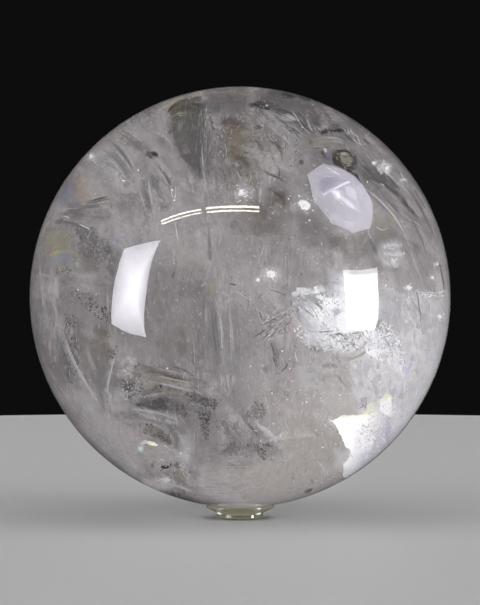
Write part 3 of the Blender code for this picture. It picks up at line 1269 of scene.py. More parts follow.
# Torn wisps, in the same order
WISPS = {
    "fan_low": (
        grey(182), 0.8, 0.07, 7.0,
        [(96, 160), (112, 165), (125, 175), (132, 188), (118, 184), (104, 172)],
    ),
    "fan_high": (
        grey(172), 0.7, 0.08, 7.0,
        [(106, 151), (118, 157), (128, 167), (133, 185), (124, 179), (113, 166)],
    ),
    "fan_right": (grey(166), 0.6, 0.09, 7.0, [(128, 146), (138, 157), (143, 176), (137, 194), (131, 174)]),
    "fan_far": (
        grey(164), 0.6, 0.09, 7.0,
        [(146, 152), (160, 160), (174, 176), (178, 190), (162, 182), (150, 166)],
    ),
    "fold_dark": (grey(98), 0.4, 0.06, 5.0, [(118, 156), (124, 160), (131, 173), (128, 180), (120, 169)]),
    "fold_dark_high": (
        grey(104), 0.4, 0.06, 5.0,
        [(107, 140), (113, 142), (119, 151), (123, 162), (115, 156)],
    ),
    "spot": (grey(58), 1.0, 0.05, 4.0, oval(152, 154.5, 6.2, 4.6, 10)),
    "spot_mist": (shade(106, 100, 108), 0.75, 0.07, 7.0, oval(140, 146, 12, 4.5, 10)),
    "hollow": (grey(94), 0.55, 0.08, 7.0, oval(154.5, 180, 6.5, 9.0)),
    "hollow_right": (
        grey(84), 0.6, 0.07, 5.0,
        [(158, 166), (164, 170), (170, 180), (167, 187), (160, 181)],
    ),
    "hollow_low": (grey(96), 0.75, 0.08, 6.0, oval(165, 206, 7, 4.2, -20)),
    "left_smoke": (
        grey(106), 0.6, 0.12, 10.0,
        [(72, 206), (116, 206), (124, 213), (105, 222), (75, 222), (62, 214)],
    ),
    "left_smoke_dot": (grey(76), 0.9, 0.04, 4.0, oval(59, 222, 5.0, 2.8, -20)),
    "left_low_smoke": (
        grey(112), 0.6, 0.10, 9.0,
        [(118, 196), (142, 190), (146, 212), (132, 226), (118, 216)],
    ),
    "panel_lavender": (
        shade(150, 148, 162), 0.7, 0.06, 9.0,
        [(112, 232), (126, 236), (124, 248), (114, 254), (110, 244)],
    ),
    "panel_shade": (
        shade(84, 82, 82), 0.5, 0.07, 8.0,
        [(108, 248), (121, 246), (120, 258), (114, 276), (104, 268)],
    ),
    "left_patches": (grey(100), 0.2, 0.09, 9.0, [(66, 288), (104, 282), (110, 330), (96, 352), (76, 338)]),
    "left_brown": (
        shade(104, 98, 92), 0.65, 0.08, 8.0,
        [(96, 326), (112, 332), (116, 352), (102, 356), (92, 344)],
    ),
    "striated_olive": (
        shade(78, 76, 66), 0.6, 0.045, 5.0,
        [(176, 112), (182, 105), (203, 102), (203, 107), (190, 108)],
    ),
    "striated_olive_low": (
        shade(66, 66, 60), 0.5, 0.045, 4.0,
        [(184, 108), (201, 109), (201, 115), (188, 114)],
    ),
    "limb_cream": (
        shade(184, 174, 156), 0.8, 0.04, 4.0,
        [(150, 119), (158, 108), (170, 99), (186, 93), (208, 89.5), (208, 92.5), (190, 97), (176, 103),
         (166, 109),
         (156, 116)],
    ),
    "limb_brown": (
        shade(88, 80, 68), 0.8, 0.035, 3.0,
        [(168, 120), (170, 108), (178, 101), (200, 96), (207, 96), (200, 101), (183, 104), (176, 112),
         (174, 122)],
    ),
    "limb_olive": (
        shade(128, 124, 98), 0.6, 0.04, 6.0,
        [(222, 92), (240, 88), (262, 90), (262, 95), (240, 95)],
    ),
    "texture_brown": (
        shade(98, 91, 84), 0.4, 0.13, 16.0,
        [(222, 106), (236, 104), (254, 130), (258, 152), (250, 176), (232, 176), (222, 150), (220, 128)],
    ),
    "texture_dark": (
        shade(84, 74, 70), 0.7, 0.07, 6.0,
        [(221, 116), (236, 119), (250, 124), (236, 128), (224, 126)],
    ),
    "texture_dark_low": (
        shade(86, 80, 70), 0.65, 0.07, 7.0,
        [(230, 145), (248, 150), (246, 159), (232, 158)],
    ),
    "texture_white": (
        shade(172, 166, 154), 0.35, 0.06, 4.0,
        [(222, 156), (233, 155), (237, 163), (228, 167), (222, 163)],
    ),
    "dark_top": (
        shade(62, 56, 62), 1.0, 0.045, 4.0,
        [(249, 104), (260, 101), (276, 103), (279, 107), (270, 110), (261, 109), (251, 107)],
    ),
    "rim_dark": (grey(60), 0.95, 0.025, 3.0, [(281, 92), (290, 94), (299, 97), (292, 99), (283, 97)]),
    "rim_dark_right": (grey(78), 0.85, 0.025, 3.0, oval(305, 98.5, 5.5, 2.2, 20)),
    "top_pale_band": (
        grey(150), 0.65, 0.09, 7.0,
        [(261, 113), (272, 119), (286, 129), (303, 146), (300, 153), (284, 141), (270, 131), (260, 121)],
    ),
    "top_plane": (grey(142), 0.5, 0.11, 10.0, [(262, 110), (298, 122), (312, 136), (300, 150), (280, 134)]),
    "top_dark_streak": (grey(70), 0.9, 0.05, 3.0, [(283, 125), (292, 127), (301, 134), (292, 133)]),
    "top_dot": (grey(76), 0.9, 0.045, 2.5, oval(257, 127, 4.6, 2.0)),
    "top_dot_low": (grey(80), 0.9, 0.045, 2.5, oval(301.5, 162, 2.8, 2.4)),
    "top_dot_brown": (shade(84, 72, 62), 0.9, 0.045, 2.5, oval(311.5, 142, 2.8, 2.2)),
    "fold_top": (grey(98), 0.7, 0.07, 5.0, [(273, 134), (280, 141), (285, 151), (278, 149), (272, 142)]),
    "cream_band": (
        shade(148, 145, 138), 0.35, 0.05, 6.0,
        [(309, 138), (322, 135), (338, 138), (346, 144), (336, 146), (322, 144), (311, 148)],
    ),
    "cream_wisp": (
        shade(158, 153, 145), 0.6, 0.06, 9.0,
        [(257, 151), (270, 157), (286, 165), (301, 171), (306, 181), (290, 174), (272, 167), (257, 159)],
    ),
    "dark_low": (
        shade(98, 90, 83), 0.6, 0.08, 11.0,
        [(262, 190), (276, 188), (292, 192), (292, 206), (268, 210)],
    ),
    "dark_tail": (
        shade(96, 90, 84), 0.6, 0.08, 10.0,
        [(258, 202), (272, 206), (266, 220), (256, 226), (250, 214)],
    ),
    "pale_beside_panel": (
        grey(152), 0.5, 0.10, 9.0,
        [(284, 172), (303, 176), (308, 198), (294, 196), (286, 184)],
    ),
    "sky_by_arc": (
        shade(102, 98, 107), 0.75, 0.07, 7.0,
        [(308, 115), (326, 116), (336, 128), (320, 131), (312, 126)],
    ),
    "arc_pinkish": (
        shade(154, 146, 146), 0.55, 0.10, 9.0,
        [(404, 188), (420, 192), (430, 214), (418, 212), (408, 200)],
    ),
    "right_dark_a": (
        shade(88, 92, 90), 0.85, 0.06, 5.0,
        [(362, 165), (369, 163), (372, 176), (367, 183), (361, 176)],
    ),
    "right_dark_b": (
        grey(90), 0.7, 0.06, 6.0,
        [(368, 168), (380, 170), (390, 178), (384, 184), (370, 178)],
    ),
    "right_dark_c": (
        grey(98), 0.5, 0.07, 6.0,
        [(384, 180), (398, 184), (410, 198), (424, 224), (412, 215), (400, 198), (388, 190)],
    ),
    "right_dark_d": (shade(100, 98, 106), 0.5, 0.07, 5.0, [(392, 166), (399, 168), (402, 180), (396, 182)]),
    "right_blob": (
        grey(206), 0.95, 0.045, 3.0,
        [(376, 168), (380, 164), (386, 162), (390, 165), (389, 170), (394, 179), (389, 180), (384, 173),
         (378, 171)],
    ),
    "blob_tail": (grey(160), 0.7, 0.05, 5.0, [(366, 182), (374, 184), (380, 192), (370, 190)]),
    "green_glow": (
        shade(166, 170, 108), 0.8, 0.05, 3.0,
        [(391, 214), (395, 213), (398, 222), (396, 226), (391, 219)],
    ),
    "under_octagon": (
        shade(140, 135, 122), 0.6, 0.09, 12.0,
        [(372, 212), (392, 220), (404, 242), (380, 246), (370, 230)],
    ),
    "panel_under": (
        shade(108, 101, 94), 0.45, 0.09, 9.0,
        [(340, 233), (366, 234), (374, 252), (356, 264), (332, 246)],
    ),
    "under_left": (
        grey(118), 0.5, 0.10, 10.0,
        [(300, 222), (326, 228), (336, 246), (312, 252), (296, 238)],
    ),
    "middle_brown": (
        shade(104, 97, 88), 0.6, 0.10, 12.0,
        [(158, 332), (188, 328), (192, 352), (172, 364), (156, 356)],
    ),
    "olive_patch": (
        shade(122, 112, 98), 0.5, 0.045, 4.0,
        [(236, 132), (246, 130), (248, 150), (240, 158), (236, 146)],
    ),
    "lens_violet": (shade(112, 108, 138), 0.9, 0.03, 3.0, oval(138, 403.6, 6.0, 1.9, -4)),
    "lens_above": (grey(74), 0.9, 0.055, 4.0, [(152, 384), (164, 383), (166, 392), (157, 394), (151, 390)]),
    "lens_above_right": (grey(90), 0.8, 0.06, 5.0, [(167, 383), (181, 385), (181, 391), (168, 391)]),
    "lens_above_left": (grey(98), 0.75, 0.06, 5.0, [(142, 396), (150, 393), (152, 400), (144, 401)]),
    "lens_pale": (
        shade(164, 161, 154), 0.6, 0.05, 6.0,
        [(132, 390), (141, 388), (144, 398), (137, 402), (132, 398)],
    ),
    "dome_shade": (
        shade(116, 110, 105), 0.75, 0.055, 6.0,
        [(142, 430), (150, 421), (162, 422), (170, 436), (173, 448), (164, 445), (152, 438)],
    ),
    "dome_dark": (shade(66, 64, 56), 0.5, 0.035, 4.0, [(160, 434), (170, 437), (173, 446), (165, 443)]),
    "leaf": (
        shade(128, 122, 114), 0.9, 0.05, 4.0,
        [(170, 475), (176, 468), (183, 470), (185, 479), (177, 485)],
    ),
    "leaf_right": (grey(98), 0.75, 0.05, 5.0, oval(195, 474, 6.5, 4.5, 20)),
    "bottom_left_pale": (
        grey(160), 0.5, 0.10, 12.0,
        [(176, 466), (214, 470), (226, 490), (196, 492), (170, 482)],
    ),
    "bottom_dim": (grey(104), 0.6, 0.05, 7.0, [(182, 494), (206, 500), (262, 506), (214, 506), (190, 502)]),
    "olive_bottom": (shade(92, 86, 50), 0.85, 0.035, 3.0, oval(308, 491, 5.0, 2.0, -10)),
    "spot_bottom": (grey(92), 0.9, 0.04, 3.0, [(310, 479), (315, 480), (314, 484), (311, 483)]),
    "white_streak": (
        grey(196), 0.75, 0.05, 4.0,
        [(254, 421), (262, 426), (271, 432), (278, 441), (268, 436), (260, 430)],
    ),
    "streak_pale": (grey(168), 0.6, 0.06, 8.0, [(260, 426), (276, 424), (280, 438), (270, 442)]),
    "wedge": (
        grey(120), 0.75, 0.05, 1.6,
        [(271, 340.5), (274, 343.5), (279, 352), (281, 361), (280, 367), (276.5, 364), (273.5, 355)],
    ),
    "wedge_left": (grey(122), 0.7, 0.055, 4.0, [(262, 368), (272, 362), (272, 370), (264, 374)]),
    "tuft_shade": (shade(126, 128, 122), 0.8, 0.05, 7.0, oval(316, 347, 9, 4.5, 10)),
    "dark_slot": (shade(128, 127, 131), 0.85, 0.05, 3.5, [(321, 363), (334, 363), (338, 368), (323, 368)]),
    "arch_shade": (shade(178, 180, 180), 0.85, 0.04, 4.0, [(340, 332), (352, 334), (354, 339), (344, 342)]),
    "band_dark": (grey(172), 0.6, 0.05, 5.0, [(393, 300), (401, 298), (401, 334), (395, 336)]),
    "crush_shadow": (
        shade(176, 173, 178), 0.7, 0.06, 8.0,
        [(298, 318), (322, 322), (338, 330), (318, 333), (302, 328)],
    ),
    "brown_zone": (
        shade(120, 108, 95), 0.6, 0.06, 7.0,
        [(228, 122), (240, 120), (250, 132), (252, 148), (240, 156), (230, 144)],
    ),
    "wedge_brown": (
        shade(104, 96, 91), 0.6, 0.05, 5.0,
        [(178, 142), (200, 140), (201, 166), (192, 164), (184, 156)],
    ),
    "olive_column": (
        shade(128, 119, 99), 0.55, 0.045, 4.0,
        [(224, 128), (234, 126), (240, 138), (238, 156), (228, 160), (226, 144)],
    ),
    "violet_patch": (
        shade(122, 116, 120), 0.5, 0.045, 4.0,
        [(240, 112), (252, 112), (256, 124), (244, 126)],
    ),
    "olive_low": (shade(130, 122, 108), 0.5, 0.045, 4.0, [(244, 168), (254, 166), (256, 182), (248, 186)]),
    "wedge_violet": (
        shade(104, 98, 103), 0.6, 0.045, 4.0,
        [(180, 142), (201, 141), (202, 168), (192, 164)],
    ),
    "wedge_green": (shade(86, 92, 84), 0.6, 0.045, 2.5, [(184, 106), (202, 103), (203, 111), (190, 112)]),
    "yellow_fleck": (
        shade(156, 152, 104), 0.55, 0.045, 2.0,
        [(210, 283), (213.5, 284), (215.5, 292), (212.5, 296), (209.5, 289)],
    ),
}

# Sheets of close grains, in the same order
GRAINED = {
    "speckle_ground": (
        grey(98), 0.55, 0.08, 12.0,
        [(70, 225), (88, 225), (99, 232), (112, 241), (113, 250), (105, 257), (90, 263), (78, 258),
         (70, 246)],
    ),
    "speckle_right": (grey(84), 0.4, 0.07, 8.0, [(104, 240), (116, 244), (114, 262), (100, 262)]),
    "lens_texture": (
        grey(88), 0.3, 0.04, 10.0,
        [(134, 396), (200, 392), (222, 404), (214, 416), (176, 418), (140, 410)],
    ),
    "tree_top": (
        grey(92), 0.35, 0.045, 9.0,
        [(184, 390), (200, 393), (216, 397), (222, 406), (214, 414), (200, 404), (186, 398)],
    ),
    "tree_trunk": (
        grey(88), 0.35, 0.045, 8.0,
        [(196, 404), (210, 404), (212, 420), (208, 438), (202, 436), (200, 420)],
    ),
    "tree_left": (grey(80), 0.4, 0.05, 7.0, [(181, 410), (190, 412), (190, 426), (184, 424)]),
    "triangle": (
        grey(82), 0.6, 0.045, 6.0,
        [(221, 453), (228, 444), (233, 439), (238, 445), (242, 451), (236, 455), (230, 456)],
    ),
    "triangle_tail": (grey(92), 0.7, 0.05, 5.0, [(238, 448), (244, 452), (248, 458), (243, 457)]),
    "cluster": (
        grey(84), 0.6, 0.045, 5.0,
        [(254, 443), (260, 448), (266, 458), (263, 462), (257, 454), (252, 447)],
    ),
    "cluster_arm": (grey(64), 0.85, 0.045, 4.0, [(261, 444), (268, 442), (272, 445), (268, 448)]),
    "cluster_dot": (grey(60), 0.9, 0.045, 3.0, oval(249, 445.5, 3.0, 2.4)),
    "wing": (
        grey(94), 0.5, 0.05, 6.0,
        [(257, 400), (263, 402), (266, 411), (262, 418), (254, 417), (250, 409)],
    ),
    "wing_left": (
        shade(100, 94, 84), 0.85, 0.05, 6.0,
        [(240, 414), (250, 410), (252, 418), (246, 422), (240, 422)],
    ),
    "low_smoke": (grey(98), 0.7, 0.05, 5.0, [(228, 462), (240, 465), (238, 468), (228, 467)]),
    "left_grains": (grey(84), 0.25, 0.07, 12.0, [(54, 286), (84, 284), (92, 316), (76, 330), (58, 312)]),
    "left_stitch": (grey(78), 0.8, 0.05, 7.0, [(122, 380), (134, 376), (136, 388), (126, 394), (120, 390)]),
    "left_stitch_low": (grey(92), 0.7, 0.05, 7.0, [(126, 392), (136, 392), (134, 402), (126, 402)]),
    "black_low": (grey(28), 1.0, 0.035, 5.0, [(159, 463), (166, 465), (173, 466), (170, 470), (162, 469)]),
    "black_low_left": (grey(50), 0.95, 0.035, 3.5, oval(153, 465.5, 2.8, 2.2)),
    "leaf_grains": (grey(86), 0.8, 0.04, 5.0, [(172, 460), (180, 462), (180, 470), (172, 468)]),
    "saw": (
        grey(50), 1.0, 0.045, 4.0,
        [(319, 130), (330, 128.5), (344, 129), (350, 136), (342, 134), (330, 133), (321, 135)],
    ),
    "eye_grains": (
        shade(72, 66, 58), 0.85, 0.035, 5.0,
        [(334, 150), (350, 150), (356, 162), (350, 168), (338, 164), (334, 158)],
    ),
    "upper_brown": (shade(86, 80, 72), 0.7, 0.08, 10.0, [(268, 188), (286, 190), (288, 202), (272, 204)]),
    "under_tubes": (grey(104), 0.6, 0.08, 9.0, [(248, 224), (282, 222), (284, 232), (254, 238)]),
    "under_tubes_left": (grey(110), 0.6, 0.08, 8.0, [(230, 220), (240, 222), (238, 230), (230, 228)]),
    "ring_grains": (grey(110), 0.6, 0.08, 8.0, [(306, 240), (320, 240), (320, 248), (308, 248)]),
    "brown_grains": (shade(106, 100, 92), 0.7, 0.08, 9.0, [(324, 232), (342, 236), (342, 248), (326, 246)]),
    "mid_texture": (grey(108), 0.55, 0.09, 9.0, [(178, 282), (206, 280), (206, 298), (180, 298)]),
    "rim_specks": (grey(88), 0.8, 0.035, 8.0, [(196, 484), (214, 494), (218, 506), (204, 504), (192, 494)]),
    "right_dark_grains": (
        grey(80), 0.7, 0.05, 7.0,
        [(392, 184), (406, 194), (420, 216), (410, 212), (396, 194)],
    ),
    "dark_flecks": (grey(108), 0.7, 0.05, 5.0, [(283, 389), (291, 391), (290, 399), (284, 397)]),
}

# Mist drawn out in upright fibres, in the same order
FIBRES = {
    "striated_shade": (
        grey(70), 0.95, 0.07, 9.0,
        [(174, 116), (181, 106), (203, 102), (205, 140), (203, 178), (192, 170), (181, 160), (175, 146),
         (166, 134)],
    ),
    "striated_mid": (grey(92), 0.8, 0.06, 7.0, [(180, 126), (202, 124), (203, 160), (190, 160)]),
    "striated_light": (
        grey(166), 0.75, 0.05, 3.0,
        [(200.5, 128), (206, 127), (207.5, 188), (204, 200), (201, 182)],
    ),
    "upper_streaks": (
        grey(126), 0.5, 0.06, 7.0,
        [(204, 108), (212, 108), (214, 170), (210, 204), (204, 200)],
    ),
    "upper_texture": (
        shade(96, 89, 82), 0.45, 0.08, 9.0,
        [(220, 124), (258, 130), (264, 204), (236, 208), (218, 180)],
    ),
    "left_columns": (
        grey(164), 0.5, 0.09, 7.0,
        [(34, 272), (64, 270), (66, 330), (58, 372), (40, 342), (32, 306)],
    ),
    "left_columns_low": (
        grey(158), 0.5, 0.07, 7.0,
        [(66, 330), (78, 350), (90, 392), (76, 388), (62, 356)],
    ),
    "column_pale": (
        grey(176), 0.65, 0.10, 6.0,
        [(216, 292), (234, 290), (238, 380), (226, 398), (217, 372)],
    ),
    "column_dark": (
        grey(106), 0.45, 0.09, 7.0,
        [(190, 286), (213, 285), (219, 322), (222, 346), (221, 384), (196, 388)],
    ),
    "left_dark_streak": (grey(100), 0.55, 0.055, 5.0, [(141, 180), (150, 178), (151, 228), (142, 226)]),
    "left_texture": (
        grey(164), 0.5, 0.09, 9.0,
        [(140, 176), (176, 168), (180, 240), (160, 244), (140, 220)],
    ),
    "veil_over_tubes": (grey(160), 0.5, 0.09, 10.0, [(176, 190), (220, 186), (226, 262), (180, 262)]),
    "veil_under_tubes": (grey(110), 0.3, 0.08, 9.0, [(184, 222), (226, 218), (228, 250), (188, 252)]),
    "right_columns": (
        shade(180, 178, 188), 0.7, 0.07, 7.0,
        [(379, 290), (402, 292), (404, 334), (380, 322)],
    ),
    "lower_left_columns": (
        grey(150), 0.35, 0.09, 9.0,
        [(78, 346), (120, 350), (122, 412), (98, 428), (80, 394)],
    ),
    "lower_left_pale": (
        grey(176), 0.7, 0.06, 6.0,
        [(104, 360), (116, 362), (116, 410), (108, 420), (102, 396)],
    ),
    "right_side": (grey(156), 0.6, 0.08, 9.0, [(402, 200), (432, 222), (446, 264), (424, 300), (404, 262)]),
    "right_side_dark": (grey(104), 0.5, 0.07, 8.0, [(408, 236), (432, 250), (440, 300), (424, 300)]),
    "under_panel": (
        grey(128), 0.3, 0.09, 9.0,
        [(300, 226), (352, 236), (340, 288), (300, 292), (290, 252)],
    ),
    "centre_columns": (
        grey(160), 0.4, 0.10, 10.0,
        [(236, 300), (286, 296), (290, 380), (250, 400), (236, 370)],
    ),
    "centre_columns_dark": (grey(116), 0.35, 0.09, 9.0, [(222, 300), (262, 302), (262, 360), (226, 366)]),
    "dim_columns": (grey(108), 0.3, 0.09, 9.0, [(150, 266), (206, 264), (210, 372), (158, 372)]),
    "bottom_fine": (grey(118), 0.5, 0.07, 9.0, [(240, 404), (284, 410), (276, 462), (244, 452)]),
}

# Mist drawn out along lines that lean to the left, in the same order
LEANING = {
    "upper_left_grain": (
        grey(112), 0.6, 0.10, 12.0,
        [(86, 166), (130, 130), (180, 170), (176, 214), (120, 210)],
    ),
    "upper_left_light": (
        grey(172), 0.3, 0.09, 12.0,
        [(96, 176), (132, 140), (170, 176), (160, 206), (118, 206)],
    ),
    "arc_streaks": (
        grey(88), 0.45, 0.06, 7.0,
        [(340, 140), (362, 150), (404, 190), (428, 232), (414, 224), (384, 188), (352, 160)],
    ),
    "arc_streaks_light": (
        grey(168), 0.5, 0.05, 7.0,
        [(356, 136), (384, 158), (414, 190), (436, 236), (424, 230), (398, 186), (368, 156)],
    ),
    "below_arc": (
        grey(112), 0.6, 0.08, 9.0,
        [(372, 190), (392, 206), (414, 246), (420, 280), (404, 262), (388, 230)],
    ),
    "crush_streaks": (
        grey(146), 0.75, 0.05, 7.0,
        [(292, 306), (312, 304), (332, 324), (318, 334), (296, 322)],
    ),
    "crush_streaks_light": (
        WHITE, 0.9, 0.045, 7.0,
        [(300, 304), (330, 306), (346, 326), (330, 330), (310, 316)],
    ),
    "low_right_streaks": (
        shade(186, 184, 190), 0.45, 0.09, 12.0,
        [(352, 370), (400, 366), (412, 400), (376, 398), (356, 388)],
    ),
    "centre_slope": (
        grey(112), 0.35, 0.08, 6.0,
        [(250, 296), (262, 294), (292, 318), (290, 334), (264, 336), (250, 316)],
    ),
    "corner_streaks": (
        grey(104), 0.6, 0.07, 8.0,
        [(220, 420), (240, 424), (262, 446), (250, 460), (226, 440)],
    ),
}

# Mist drawn out along lines that slope gently down to the right, in the same order
SLOPING = {
    "ledge": (
        shade(104, 99, 94), 0.7, 0.06, 6.0,
        [(130, 364), (158, 364), (184, 372), (206, 379), (204, 386), (170, 383), (132, 378)],
    ),
    "ledge_light": (
        shade(160, 154, 146), 0.5, 0.05, 4.0,
        [(140, 371), (170, 375), (204, 382), (206, 389), (176, 386), (142, 380)],
    ),
    "ledge_low": (shade(150, 143, 134), 0.7, 0.055, 6.0, [(144, 379), (190, 385), (196, 396), (146, 392)]),
    "ledge_bottom": (
        shade(106, 102, 96), 0.4, 0.055, 6.0,
        [(146, 386), (184, 388), (200, 398), (150, 398)],
    ),
    "lens": (
        shade(78, 74, 75), 0.95, 0.05, 2.6,
        [(136, 405), (143, 403), (149, 399.5), (158, 397.8), (168, 398), (176, 401), (177, 406),
         (170, 411.5), (160, 410.5), (150, 408.5), (141, 406.5)],
    ),
    "lens_tail": (
        grey(104), 0.7, 0.052, 4.0,
        [(166, 398.5), (186, 399.5), (190, 403), (188, 411), (169, 411.5)],
    ),
    "lens_fold": (grey(112), 0.7, 0.06, 6.0, [(128, 412), (148, 415), (168, 420), (150, 424), (132, 420)]),
    "left_smoke_strands": (
        grey(104), 0.6, 0.10, 9.0,
        [(64, 202), (112, 196), (124, 206), (112, 220), (72, 222)],
    ),
    "left_band": (shade(142, 142, 130), 0.5, 0.08, 7.0, [(58, 266), (104, 266), (106, 276), (58, 276)]),
    "left_band_dark": (grey(106), 0.5, 0.08, 7.0, [(60, 274), (104, 276), (106, 286), (60, 286)]),
    "top_arc": (grey(84), 0.7, 0.06, 6.0, [(264, 104), (300, 112), (322, 130), (306, 136), (280, 120)]),
    "top_arc_light": (
        grey(158), 0.7, 0.055, 6.0,
        [(264, 112), (290, 116), (312, 136), (300, 144), (278, 130)],
    ),
    "olive_strands": (
        shade(88, 86, 76), 0.8, 0.05, 6.0,
        [(172, 112), (184, 104), (206, 103), (206, 114), (186, 120), (174, 122)],
    ),
    "olive_strands_pale": (
        shade(164, 158, 146), 0.7, 0.045, 4.0,
        [(172, 116), (184, 109), (206, 108), (204, 112), (186, 116)],
    ),
    "cream_strands": (
        shade(150, 146, 138), 0.5, 0.05, 5.0,
        [(309, 138), (322, 135), (340, 139), (352, 148), (338, 150), (322, 145), (311, 148)],
    ),
    "eye_strands": (
        shade(78, 74, 68), 0.4, 0.045, 6.0,
        [(326, 146), (344, 146), (360, 156), (368, 172), (356, 176), (340, 168), (330, 158)],
    ),
    "ledge_right_lines": (grey(216), 0.7, 0.045, 4.0, [(382, 243), (404, 243), (404, 247), (384, 249)]),
    "ledge_right_lines_low": (grey(214), 0.7, 0.045, 4.0, [(382, 251), (406, 252), (404, 257), (384, 257)]),
    "low_strands": (
        grey(176), 0.6, 0.05, 7.0,
        [(126, 404), (160, 408), (196, 420), (176, 426), (140, 418)],
    ),
}

# Fractures that crinkle and catch the light, in the same order
FRACTURES = {
    "centre_fracture": (
        grey(192), 0.7, 0.08, 6.0,
        [(262, 266), (292, 272), (300, 296), (280, 300), (262, 290)],
    ),
    "bottom_fracture": (grey(180), 0.6, 0.07, 7.0, [(256, 420), (280, 424), (276, 446), (258, 448)]),
    "right_top_fracture": (
        grey(184), 0.8, 0.05, 5.0,
        [(396, 166), (408, 170), (420, 200), (412, 208), (400, 186)],
    ),
    "right_ledge": (
        grey(204), 0.85, 0.05, 6.0,
        [(370, 252), (384, 240), (404, 240), (406, 254), (390, 268), (374, 262)],
    ),
    "upper_fracture": (
        grey(176), 0.6, 0.07, 8.0,
        [(284, 196), (318, 200), (330, 224), (310, 236), (286, 222)],
    ),
    "limb_fracture": (grey(206), 0.8, 0.03, 4.0, [(84, 154), (92, 150), (98, 162), (92, 168), (84, 162)]),
    "side_fracture": (
        shade(220, 219, 224), 0.7, 0.07, 9.0,
        [(402, 280), (446, 282), (448, 330), (436, 364), (412, 340)],
    ),
    "low_side_fracture": (
        shade(206, 205, 210), 0.6, 0.08, 9.0,
        [(396, 336), (436, 336), (430, 372), (404, 384)],
    ),
    "flakes": (grey(190), 0.55, 0.07, 9.0, [(270, 384), (312, 380), (310, 420), (290, 446), (276, 420)]),
    "side_shelf": (
        grey(212), 0.8, 0.04, 3.0,
        [(417, 291), (430, 291.5), (445, 290.5), (445, 298), (432, 299), (418, 298)],
    ),
}

# Crushed zones of small bright planes, in the same order
CRUSHED = {
    "crush_left": (
        shade(222, 220, 227), 0.6, 0.085, 15.0,
        [(289, 299), (304, 291), (326, 293), (346, 290), (346, 332), (330, 334), (305, 328), (291, 316)],
    ),
    "crush_core": (
        shade(248, 247, 252), 0.8, 0.06, 5.0,
        [(302, 302), (316, 305), (326, 314), (316, 321), (303, 316), (298, 308)],
    ),
    "crush_middle": (
        shade(216, 214, 222), 0.5, 0.075, 9.0,
        [(300, 330), (346, 331), (366, 332), (368, 346), (346, 356), (330, 352), (304, 342)],
    ),
    "crush_right": (
        shade(224, 223, 230), 0.85, 0.07, 9.0,
        [(374, 318), (384, 322), (398, 334), (404, 352), (408, 372), (394, 368), (372, 354), (366, 340)],
    ),
    "crush_low": (
        shade(206, 203, 206), 0.7, 0.11, 14.0,
        [(350, 362), (392, 360), (420, 354), (427, 376), (412, 408), (392, 418), (372, 396), (356, 384)],
    ),
    "crush_side": (
        shade(196, 194, 198), 0.7, 0.11, 14.0,
        [(384, 288), (434, 290), (439, 326), (430, 366), (410, 378), (402, 340)],
    ),
    "crush_core_b": (
        shade(250, 250, 254), 0.9, 0.06, 4.0,
        [(322, 299), (346, 297), (347, 309), (330, 311), (322, 306)],
    ),
    "crush_core_c": (
        shade(244, 244, 248), 0.8, 0.055, 4.0,
        [(330, 322), (344, 316), (347, 332), (334, 334)],
    ),
    "crush_rim": (
        shade(244, 244, 248), 0.85, 0.055, 3.5,
        [(291, 293), (299, 288), (308, 288), (318, 292), (312, 296), (300, 295), (293, 299)],
    ),
    "crush_rim_b": (
        shade(240, 240, 246), 0.8, 0.055, 3.0,
        [(314, 287), (322, 284), (326, 290), (320, 294), (314, 292)],
    ),
}

